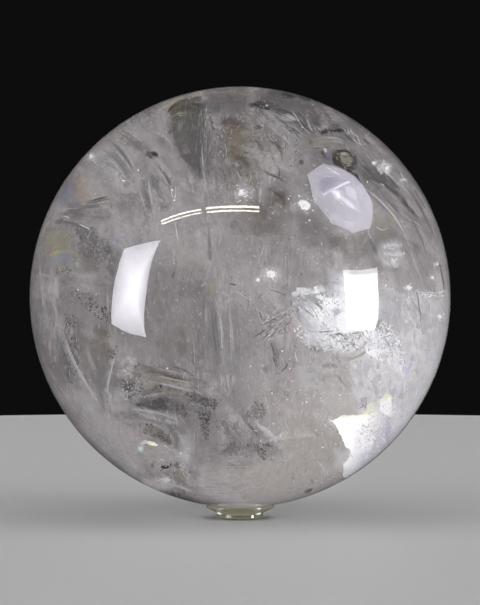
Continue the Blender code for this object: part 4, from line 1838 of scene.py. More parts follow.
# Flat planes with crisp edges, in the same order
PLANES = {
    "block_top": (
        WHITE, 0.97, 0.045, 1.6,
        [(327, 300), (331, 298), (347, 297), (347, 308.5), (331, 307.5)],
    ),
    "block_spark": (
        shade(246, 246, 250), 0.9, 0.045, 2.0,
        [(315, 295), (320, 294), (325, 297), (324, 300), (317, 300)],
    ),
    "block_left": (WHITE, 0.92, 0.045, 2.5, [(293, 301), (299, 301), (300, 307), (296, 310), (293, 307)]),
    "block_foot": (
        WHITE, 0.97, 0.035, 2.5,
        [(338, 316), (347, 314), (378, 318), (377, 327), (374, 336), (368, 339), (362, 331), (344, 332),
         (338, 328)],
    ),
    "block_low": (
        shade(250, 250, 253), 0.95, 0.04, 2.5,
        [(366, 347), (380, 349), (391, 348), (390, 358), (382, 360), (372, 357), (366, 352)],
    ),
    "block_arch": (
        shade(236, 238, 242), 0.85, 0.04, 3.0,
        [(331, 339), (338, 336), (343, 342), (341, 351), (334, 347)],
    ),
    "block_small": (
        shade(236, 230, 238), 0.9, 0.035, 2.0,
        [(361, 337), (366, 337), (368, 346), (363, 348), (359, 343)],
    ),
    "block_edge": (
        shade(246, 246, 250), 0.6, 0.04, 4.0,
        [(388, 358), (398, 358), (404, 366), (403, 373), (395, 368)],
    ),
    "block_blue": (
        shade(226, 230, 240), 0.85, 0.04, 4.0,
        [(390, 336), (397, 340), (401, 352), (394, 356), (390, 346)],
    ),
    "block_chip": (
        shade(230, 230, 236), 0.85, 0.045, 3.0,
        [(316, 332), (324, 331), (328, 338), (320, 342), (315, 337)],
    ),
    "block_chip_left": (
        shade(228, 224, 230), 0.85, 0.045, 3.0,
        [(303, 334), (310, 333), (312, 341), (306, 341)],
    ),
    "facet_light": (
        shade(176, 172, 170), 0.6, 0.08, 2.5,
        [(318, 393), (326, 396), (350, 388), (360, 398), (358, 414), (332, 418), (326, 404)],
    ),
    "facet_left": (grey(164), 0.6, 0.10, 5.0, [(290, 368), (334, 372), (345, 386), (318, 392), (300, 396)]),
    "facet_right": (
        shade(204, 202, 204), 0.55, 0.08, 4.0,
        [(348, 364), (368, 352), (380, 384), (372, 398), (358, 390)],
    ),
    "facet_band": (
        shade(170, 167, 166), 0.55, 0.06, 2.5,
        [(340, 364), (345, 366), (357, 390), (348, 388), (340, 376)],
    ),
    "shelf_yellow": (
        shade(236, 233, 216), 0.9, 0.04, 2.0,
        [(366.5, 404), (373, 402), (381, 401), (381, 411), (372, 413), (366.5, 412)],
    ),
    "shelf_rim": (
        shade(238, 236, 206), 0.85, 0.04, 2.5,
        [(378, 401), (384, 395.5), (391, 395), (393, 398), (386, 400), (380, 404)],
    ),
    "shelf_white": (
        WHITE, 0.97, 0.035, 2.5,
        [(381, 399), (391, 397), (393, 408), (390, 417), (385, 413), (380, 410)],
    ),
    "arc_shard": (grey(190), 0.6, 0.05, 4.0, [(283, 114), (292, 115), (299, 120), (292, 120)]),
    "arc_shard_low": (grey(186), 0.8, 0.05, 2.0, [(307, 119), (310, 122), (312, 131), (309, 129)]),
    "eye": (
        shade(140, 136, 124), 0.85, 0.032, 1.6,
        [(339.5, 156), (343, 154), (349, 155), (352.5, 158), (352, 162), (348.5, 165), (344, 164.5),
         (341, 161)],
    ),
    "eye_ring": (
        shade(72, 68, 66), 0.62, 0.040, 1.6,
        [(332, 153), (339, 150), (349, 151), (355, 156), (357.5, 163), (355, 169), (348, 168.5),
         (340, 165.5), (334, 160)],
    ),
    "eye_bottom": (
        shade(72, 62, 50), 0.85, 0.028, 1.5,
        [(345, 166), (350, 166.5), (354.5, 169), (352, 170.5), (347, 169)],
    ),
    "blue_arc": (
        shade(46, 44, 54), 0.85, 0.034, 1.6,
        [(333, 158), (335, 158), (339, 163.5), (345, 167.5), (352, 170.5), (358, 175), (362, 182),
         (360, 183.5), (354, 177.5), (347, 171.5), (340, 167.5), (335, 163)],
    ),
    "blue_fill": (
        shade(122, 118, 140), 0.7, 0.03, 2.0,
        [(351, 173.5), (356, 176), (361, 182.5), (359.5, 184.5), (355, 180)],
    ),
    "dark_by_eye": (
        shade(70, 66, 74), 0.6, 0.04, 5.0,
        [(320, 150), (325, 151), (331, 160), (327, 160), (321, 156)],
    ),
    "lens_core": (
        shade(66, 64, 66), 0.5, 0.035, 5.0,
        [(152, 401), (162, 398.5), (167, 401), (166, 408), (160, 409.5), (154, 407)],
    ),
    "lens_band": (shade(84, 76, 72), 0.8, 0.045, 1.2, [(176.5, 401), (178.5, 401), (178, 411), (176, 411)]),
    "wedge_crack": (grey(140), 0.85, 0.035, 2.0, [(377.5, 318), (381, 321), (379.5, 327), (377, 327)]),
    # octagon_shade and octagon_band are painted shade and painted light on the eight-sided panel's
    # reflection
    "octagon_shade": (
        shade(100, 96, 118), 0.5, 0.04, 6.0,
        [(319, 180), (326, 175), (337, 176), (346, 180.5), (334, 188), (325, 193), (319, 189)],
    ),
    "octagon_band": (
        shade(214, 210, 224), 0.2, 0.04, 4.0,
        [(330, 214), (340, 216), (356, 226), (350, 229), (338, 223)],
    ),
    "lens_band_b": (
        shade(88, 80, 76), 0.8, 0.045, 1.2,
        [(181.5, 402), (184, 402), (184.5, 409), (181.5, 410)],
    ),
    "cream_spot": (
        shade(196, 190, 176), 0.8, 0.035, 1.5,
        [(323.5, 148), (326.5, 148.5), (327, 152.5), (324.5, 152)],
    ),
    "crush_gap": (
        shade(172, 170, 178), 0.65, 0.035, 3.0,
        [(333, 309.5), (344, 309), (345, 319), (338, 321), (334, 316)],
    ),
    "crush_gap_b": (
        shade(166, 166, 170), 0.6, 0.036, 3.0,
        [(306, 296), (322, 297), (325, 303), (314, 303), (306, 300)],
    ),
    "crush_gap_c": (
        shade(160, 160, 166), 0.6, 0.036, 4.0,
        [(298, 316), (308, 320), (322, 326), (318, 329), (302, 325)],
    ),
    "facet_ledge": (
        shade(186, 182, 181), 0.5, 0.05, 1.6,
        [(309, 385), (318, 391), (325, 402), (331, 419), (352, 414), (362, 404), (352, 388), (326, 380)],
    ),
    "facet_fold_a": (
        shade(182, 179, 180), 0.5, 0.06, 2.0,
        [(296, 366), (330, 363), (338, 371), (318, 386), (300, 388)],
    ),
    "facet_fold_b": (
        shade(174, 171, 170), 0.5, 0.055, 1.8,
        [(336, 364), (345, 366), (356, 392), (347, 391)],
    ),
    "facet_fold_c": (
        shade(196, 195, 197), 0.5, 0.06, 3.0,
        [(352, 386), (366, 384), (374, 396), (364, 402), (354, 398)],
    ),
    # octagon_white and octagon_facet paint a white band and a pale facet into the eight-sided panel's
    # reflection: painted reflection
    "octagon_white": (
        shade(212, 210, 220), 0.5, 0.034, 2.0,
        [(333, 191.5), (336, 190.5), (343, 195.5), (350, 201.5), (357, 207.5), (355, 209.5), (347, 205),
         (339, 199)],
    ),
    "octagon_facet": (
        shade(206, 204, 213), 0.45, 0.036, 2.5,
        [(344, 187.5), (350, 185), (358, 196), (357.5, 203), (350, 198)],
    ),
}

# Dark lines: width in pixels, level, path
DARK_LINES = {
    "squiggle": (1.5, 30, [(284.5, 361), (287, 363), (287.6, 366), (284, 369), (281, 372)]),
    "squiggle_stroke": (1.5, 36, [(273, 357), (275, 363), (277, 367)]),
    "squiggle_edge": (1.2, 62, [(270.5, 343), (272, 347), (274, 351)]),
    "squiggle_foot": (0.9, 84, [(276, 373), (280, 373.5)]),
    "ink_tick": (1.5, 36, [(259.5, 312), (261, 315), (262, 320)]),
    "ink_slope": (1.2, 66, [(252, 338.5), (258, 334.5), (264, 330.5), (268, 328)]),
    "ink_soft": (1.2, 96, [(272, 337), (276, 330), (278, 328)]),
    "ink_diagonal": (1.2, 92, [(257, 300), (260, 296), (263, 293)]),
    "ink_curve": (1.3, 96, [(270, 290), (278, 292), (286, 295)]),
    "ink_right": (1.1, 92, [(264, 326), (272, 320), (282, 316)]),
    "ink_dash": (2.0, 74, [(174, 272), (173, 275), (172, 278)]),
    "crack_strong": (1.9, 70, [(306, 329.5), (311, 331), (316, 332.5)]),
    "crack_strong_on": (1.1, 116, [(316, 332.5), (325, 331.5), (335, 331)]),
    "crack_arch": (1.8, 84, [(334, 338), (337, 334.5), (340, 332.5), (342, 335), (343.5, 336)]),
    "crack_shelf": (1.3, 140, [(344, 332.5), (352, 333.5), (359, 333), (362, 330.5)]),
    "crack_left_spot": (2.4, 56, [(291.3, 302), (291.6, 304), (291.8, 306.5)]),
    "crack_left_a": (1.2, 106, [(293, 306.5), (297, 308.5), (300, 310)]),
    "crack_left_b": (1.6, 92, [(296, 311), (300, 315), (305.5, 319.5)]),
    "crack_left_c": (1.5, 104, [(308.5, 311.5), (311, 314), (314, 316.5)]),
    "crack_left_d": (1.5, 98, [(315.5, 303.5), (320, 306), (322.5, 309)]),
    "crack_left_e": (0.9, 120, [(305, 341), (309, 341.5), (312, 343)]),
    "crack_left_f": (1.1, 112, [(298, 296), (303, 299), (307, 303)]),
    "crack_left_g": (0.9, 118, [(300, 322), (308, 325), (314, 329)]),
    "crack_left_h": (1.0, 130, [(324, 299), (327, 301), (330, 304)]),
    "crack_right_a": (1.3, 100, [(351, 345), (354, 346.5), (355.5, 348)]),
    "crack_right_b": (1.8, 122, [(357, 340), (360, 336.5), (361, 334)]),
    "crack_right_c": (1.3, 130, [(377, 354), (378, 357), (379, 360)]),
    "crack_right_d": (1.1, 120, [(382, 344), (387, 347), (390, 349.5)]),
    "crack_right_e": (1.1, 126, [(380, 320), (384, 326), (388, 332)]),
    "crack_right_f": (1.1, 130, [(384, 336), (388, 342), (391, 349), (392, 357)]),
    "side_crack": (1.5, 120, [(416, 285), (418, 295), (418.6, 305), (420, 312), (421, 325), (423, 333)]),
    "side_streak": (1.9, 88, [(377, 252), (379, 258), (380.5, 265), (383, 270)]),
    "limb_crack": (1.1, 92, [(442, 268), (445, 285), (447, 298)]),
    "crack_white_plane": (0.9, 170, [(349, 450), (351, 455), (353, 459)]),
    "crack_white_top": (0.8, 200, [(347.5, 421), (348, 426), (348.5, 429)]),
    "crack_purple": (1.8, 84, [(366, 398), (366.5, 404), (365, 409)]),
    "saw_b": (2.4, 46, [(322.5, 131), (322.5, 134.5)]),
    "saw_c": (2.0, 50, [(326, 131), (327, 134)]),
    "saw_d": (1.8, 56, [(331, 131), (332, 134)]),
    "saw_line": (2.2, 46, [(331, 130.5), (337, 130.5), (344, 130.8)]),
    "shard_edge": (1.6, 60, [(352, 132), (355, 135), (359, 139)]),
    "dark_over_eye": (1.8, 70, [(313, 149), (320, 147.5), (330, 147)]),
    "dark_right_tail": (1.8, 72, [(344, 133), (348, 138), (352, 141)]),
    "tail_on": (1.3, 80, [(356, 139), (360, 143), (366, 147), (372, 149)]),
    "fan_shadow_a": (1.4, 78, [(297, 116), (303, 121), (306, 126)]),
    "fan_shadow_b": (1.6, 74, [(303, 120), (306, 127), (310, 131)]),
    "rim_line": (1.0, 84, [(222, 99), (232, 98), (244, 99)]),
    "thin_diagonal": (0.9, 96, [(101, 161), (108, 164), (114, 168), (119, 170)]),
    "beside_streak": (1.8, 84, [(210.5, 122), (212.5, 127), (214.5, 130)]),
    "tree_a": (1.2, 66, [(162, 430), (162, 436), (163, 440)]),
    "tree_b": (1.5, 62, [(153, 435.5), (158, 434.5), (162, 437)]),
    "loop_low": (1.1, 84, [(200, 440), (202, 442), (204, 441)]),
    "left_stitch": (2.0, 66, [(124, 387), (127, 386), (130, 384.5), (133, 384)]),
    "stitch_up": (1.6, 78, [(134, 368), (138, 365), (141, 362)]),
    "long_diagonal": (1.6, 74, [(368, 177), (380, 181), (390, 188), (400, 194)]),
    "far_diagonal": (1.6, 76, [(400, 194), (408, 204), (414, 213), (421, 219)]),
    "far_diagonal_b": (1.0, 90, [(410, 208), (416, 215), (422, 222)]),
    "under_arc": (1.3, 92, [(366, 193), (376, 199), (384, 207), (392, 216), (400, 229)]),
    "left_rim_line": (0.8, 92, [(57, 212), (60, 216), (62, 222)]),
    "brown_line": (1.2, 82, [(244, 158), (247, 163), (250, 168)]),
    "low_dash_a": (1.0, 100, [(224, 427), (227, 428.5), (230, 430)]),
    "low_dash_b": (1.2, 96, [(230, 463), (234, 465), (238, 467)]),
    "dots_a": (1.6, 74, [(230.5, 375.5), (231, 377), (231, 378.5)]),
    "dots_b": (1.4, 84, [(221.5, 348), (222, 349), (222, 350)]),
    "v_branch": (1.0, 92, [(176, 258), (176.4, 266), (174, 272)]),
    "eye_top": (1.2, 78, [(331, 151), (338, 149.5), (346, 151), (352, 154), (355, 158)]),
    "eye_left": (1.4, 62, [(333, 153), (334.5, 158), (338.5, 163.5), (345, 167)]),
    "eye_low": (2.3, 36, [(341, 167.5), (347, 169.5), (352, 172), (357, 176), (361, 182)]),
    "eye_side": (1.0, 84, [(355, 160), (357, 165), (357.5, 170)]),
    "arc_shadow_a": (1.2, 96, [(377, 188), (384, 194), (392, 202), (399, 212), (404, 222)]),
    "arc_shadow_b": (1.1, 104, [(404, 222), (411, 235), (415, 248), (419, 262)]),
    # octagon_line darkens the eight-sided panel's reflection along its fold: painted shade
    "octagon_line": (1.0, 90, [(324, 196), (331, 192.5), (337, 189)]),
    "long_thread": (1.0, 84, [(367, 177), (383, 184), (393, 193), (408.5, 208.5), (425, 223)]),
    "lead_a": (0.9, 104, [(290, 304), (278, 313), (266, 321)]),
    "lead_c": (0.9, 98, [(270, 338), (276, 331), (282, 325)]),
    "lead_e": (0.8, 112, [(284, 328), (290, 321), (296, 317)]),
    "blade_edge": (0.9, 66, [(270.5, 341), (273, 350), (275.5, 359), (278, 366)]),
    "gap_crack_a": (1.5, 84, [(295, 309), (299, 314), (304, 318), (307, 321)]),
    "gap_crack_b": (1.3, 96, [(303, 308), (308, 312), (313, 315.5)]),
    "gap_crack_c": (1.6, 84, [(306, 329), (312, 331), (318, 332), (326, 332)]),
    "gap_crack_d": (1.8, 74, [(334, 335), (338, 333), (341, 334.5)]),
    "gap_crack_e": (1.2, 92, [(316, 303), (320, 306), (323, 309)]),
    "curl_a": (1.6, 72, [(208.5, 115), (211.5, 120), (213.5, 126), (212.5, 131)]),
    "curl_b": (1.6, 76, [(216, 133), (219, 136), (221.5, 141)]),
    "curl_c": (1.5, 80, [(216, 146), (221, 149), (226, 153)]),
    "curl_d": (2.0, 74, [(254.5, 127), (258.5, 128.5), (262.5, 127.5)]),
    "curl_e": (1.9, 76, [(274.5, 141), (279, 146.5), (284, 149)]),
    "curl_f": (2.1, 74, [(291, 128), (295.5, 130.5), (300, 133.5)]),
    "curl_g": (1.5, 84, [(239, 156), (243, 160), (246, 166)]),
    "curl_h": (1.5, 84, [(222, 170), (226, 175), (224.5, 181)]),
    "curl_i": (1.5, 80, [(276, 165), (280, 170), (279, 177)]),
    "column_spot": (2.2, 92, [(229, 284), (232.5, 284), (236, 285)]),
}

# Pale lines, in the same order
PALE_LINES = {
    "scratch": (1.4, 215, [(79, 224), (84, 226.5), (89, 228.5), (91, 231)]),
    "scratch_tail": (0.9, 180, [(91, 231), (89, 235), (86.5, 238)]),
    "limb_left_a": (1.4, 235, [(41.5, 237), (44, 231), (46.5, 225), (48, 220)]),
    "limb_left_b": (1.0, 210, [(47, 228), (49, 222), (50.5, 219)]),
    "limb_left_c": (0.9, 180, [(52, 228), (54, 218), (57, 205)]),
    "left_tick": (1.3, 210, [(64, 216), (67, 216.5), (69.5, 218)]),
    "left_top_line": (0.8, 168, [(60, 210), (68, 208.5), (79, 208)]),
    "streak_upper": (1.6, 215, [(201.5, 148), (202.5, 158), (203.5, 168), (204.5, 180)]),
    "streak_upper_b": (1.0, 186, [(203, 168), (205, 182), (207, 192)]),
    "streak_mid": (1.0, 190, [(206, 188), (207.5, 193), (209, 197)]),
    "v_left": (1.0, 200, [(170.5, 185), (171.5, 192), (173, 199)]),
    "v_right": (0.9, 190, [(175.5, 186), (175.6, 194), (175.8, 200)]),
    "under_tube": (1.2, 196, [(174.5, 221), (176, 227), (176.5, 233), (178, 240)]),
    "needle_left": (1.1, 184, [(148, 180), (149, 188), (150, 197)]),
    "needle_small": (1.0, 186, [(161.5, 166), (163, 172)]),
    "octagon_arc_a": (1.9, 196, [(366, 189), (372, 193.5), (380, 201), (388, 210)]),
    "octagon_arc_b": (1.9, 190, [(388, 210), (394, 217), (400, 226), (404, 233), (409, 245)]),
    "octagon_arc_c": (1.6, 178, [(409, 245), (411, 252), (414, 262), (419, 274), (424, 285)]),
    "outer_arc": (1.2, 168, [(425, 221), (430, 231), (434, 240), (440, 252)]),
    "side_thread": (1.3, 184, [(404, 196), (408, 204), (412, 212)]),
    "side_thread_b": (1.3, 180, [(407, 218), (412, 220), (418, 224), (422, 228)]),
    "v_mark_a": (1.5, 215, [(376.5, 226.5), (380, 229.5), (383, 230)]),
    "v_mark_b": (1.0, 196, [(383, 230), (388, 228.5)]),
    "stub": (1.9, 182, [(368, 230), (369, 234), (371, 238)]),
    "wisp": (1.5, 178, [(346, 145), (348.5, 150), (352, 154), (354, 156)]),
    "wisp_right": (1.4, 200, [(357, 140), (360, 143), (364, 145)]),
    "dash_right": (1.9, 240, [(380.5, 183), (382.5, 184.5), (385, 186)]),
    "right_tick_a": (2.0, 240, [(400.5, 172.5), (402, 175), (403.5, 178)]),
    "right_tick_b": (1.5, 206, [(406.5, 177), (407.8, 182), (407.5, 187)]),
    "right_tick_c": (1.3, 180, [(396, 168), (401, 170), (404, 176)]),
    "blob_top": (1.6, 236, [(382, 165), (384, 163.5), (388, 164.5)]),
    "fan_a": (1.3, 226, [(291.5, 111), (296, 116), (299, 121), (303, 127)]),
    "fan_b": (1.3, 220, [(303, 127), (307, 131), (311, 134)]),
    "fan_c": (2.2, 206, [(307, 120), (309, 125), (312, 131)]),
    "fan_d": (1.9, 196, [(312, 123), (314, 127), (316, 130)]),
    "fan_e": (1.0, 180, [(298, 116), (301, 119), (305, 124)]),
    "arc_top": (1.2, 178, [(262, 109.5), (275, 111.5), (288, 116), (298, 120)]),
    "arc_top_b": (1.0, 168, [(262, 117), (272, 124), (282, 130)]),
    "fibre_b": (1.0, 178, [(221, 330), (222, 350), (223, 372)]),
    "fibre_c": (0.9, 176, [(229, 298), (230, 330), (232, 366)]),
    "fibre_d": (0.8, 166, [(193.5, 340), (194.5, 360), (195.5, 378)]),
    "squiggle_light": (1.3, 214, [(295, 352), (296, 358), (298, 362)]),
    "tick_a": (1.3, 216, [(348, 362.5), (351, 361.5), (355, 360.5)]),
    "rill_a": (1.3, 204, [(317, 461), (322, 466), (325, 472), (324, 477)]),
    "rill_b": (1.1, 196, [(322, 463), (327, 470), (328, 476)]),
    "rill_c": (1.1, 204, [(317, 464), (321, 470), (323, 476)]),
    "foot_a": (1.1, 200, [(330, 477), (335, 476), (338, 477)]),
    "foot_b": (0.9, 192, [(326, 478), (332, 480)]),
    "ledge_up": (0.9, 180, [(193, 364), (193.5, 372), (195, 378)]),
    "dome_tail": (1.4, 222, [(164, 445.5), (169, 448), (171.5, 450.5)]),
    "dome_dash": (1.3, 214, [(160, 459), (162, 460), (165, 461)]),
    "leaf_edge": (1.1, 190, [(170, 475), (173, 470), (178, 469), (183, 471)]),
    "leaf_stem": (0.9, 176, [(172, 474), (173, 479), (175, 484)]),
    "low_edge_a": (1.2, 200, [(256, 423), (262, 427), (270, 432), (277, 440)]),
    "low_edge_b": (0.9, 190, [(285, 418), (287, 427), (289, 433)]),
    "bottom_a": (0.9, 176, [(160, 476), (172, 482), (186, 488)]),
    "left_rim_thread": (0.8, 172, [(37, 273), (44, 274.5), (50, 277)]),
    "row_a": (1.2, 216, [(391, 244), (394, 245), (398, 246)]),
    "row_b": (1.2, 210, [(385, 248), (390, 248.5), (395, 249)]),
    "row_c": (1.4, 224, [(385, 253), (389, 253.5), (393, 255.5), (399, 254.5), (403, 254.5)]),
    "row_d": (1.4, 220, [(381, 258), (387, 262), (390, 266)]),
    "row_e": (1.5, 226, [(388, 262.5), (393, 265), (398, 267)]),
    "limb_line": (1.3, 230, [(447, 285), (448, 292), (448.3, 300)]),
    "vertical_a": (1.0, 190, [(308, 260), (308, 263)]),
    "vertical_b": (1.0, 190, [(317, 262), (317, 264)]),
    "pale_a": (1.1, 188, [(240, 293), (243, 295.5), (246, 298)]),
    "lower_side": (1.4, 220, [(410, 313), (410.5, 317), (410, 320)]),
    "lower_side_b": (1.4, 214, [(417, 321), (418.5, 323), (421, 326)]),
    "side_thread_c": (1.8, 168, [(403, 193), (408, 202), (412, 211), (417, 217), (423, 222)]),
    "eye_glint_a": (1.0, 212, [(340, 154), (343, 153.4), (346, 154)]),
    "eye_glint_b": (0.9, 190, [(342.5, 158), (345, 160), (347, 162.5)]),
    "eye_glint_c": (0.9, 196, [(324, 148.5), (325.5, 150), (326.5, 152)]),
    # The octagon_scratch lines are painted pale streaks of the eight-sided panel's reflection, not
    # scratches in the stone
    "octagon_scratch_a": (0.8, 232, [(330, 170.5), (335, 172), (340, 175)]),
    "octagon_scratch_b": (0.8, 226, [(322, 177), (327, 175.5), (331, 177)]),
    "octagon_scratch_c": (0.8, 236, [(333, 190), (342, 184.5), (350, 181.5)]),
    "long_thread_light": (0.9, 176, [(369, 179.5), (383, 186.5), (393, 196), (407, 211), (418, 222)]),
    "ridge_line": (0.9, 196, [(62, 328), (68, 346), (77, 366), (88, 386), (98, 402), (106, 418)]),
    "ridge_line_b": (0.8, 188, [(117, 346), (113, 364), (108, 384), (106, 402), (109, 420)]),
    # The octagon_glint lines are painted glints on the eight-sided panel's reflection
    "octagon_glint_a": (1.0, 236, [(326, 167.5), (329, 168), (332, 169.3)]),
    "octagon_glint_b": (0.8, 230, [(334, 168.5), (336.5, 169.6)]),
    "curl_pale_a": (1.2, 170, [(268, 134), (272, 140), (277, 143)]),
    "curl_pale_b": (1.2, 168, [(250, 172), (251.5, 178), (249, 184)]),
    "curl_pale_c": (1.2, 172, [(224, 143), (227, 150), (226, 156)]),
    "column_edge": (1.2, 178, [(213, 296), (217, 303), (218, 314), (221, 323), (222, 345), (225, 372)]),
    "column_scratch": (1.0, 190, [(235, 291), (241, 294.5), (248, 299)]),
}

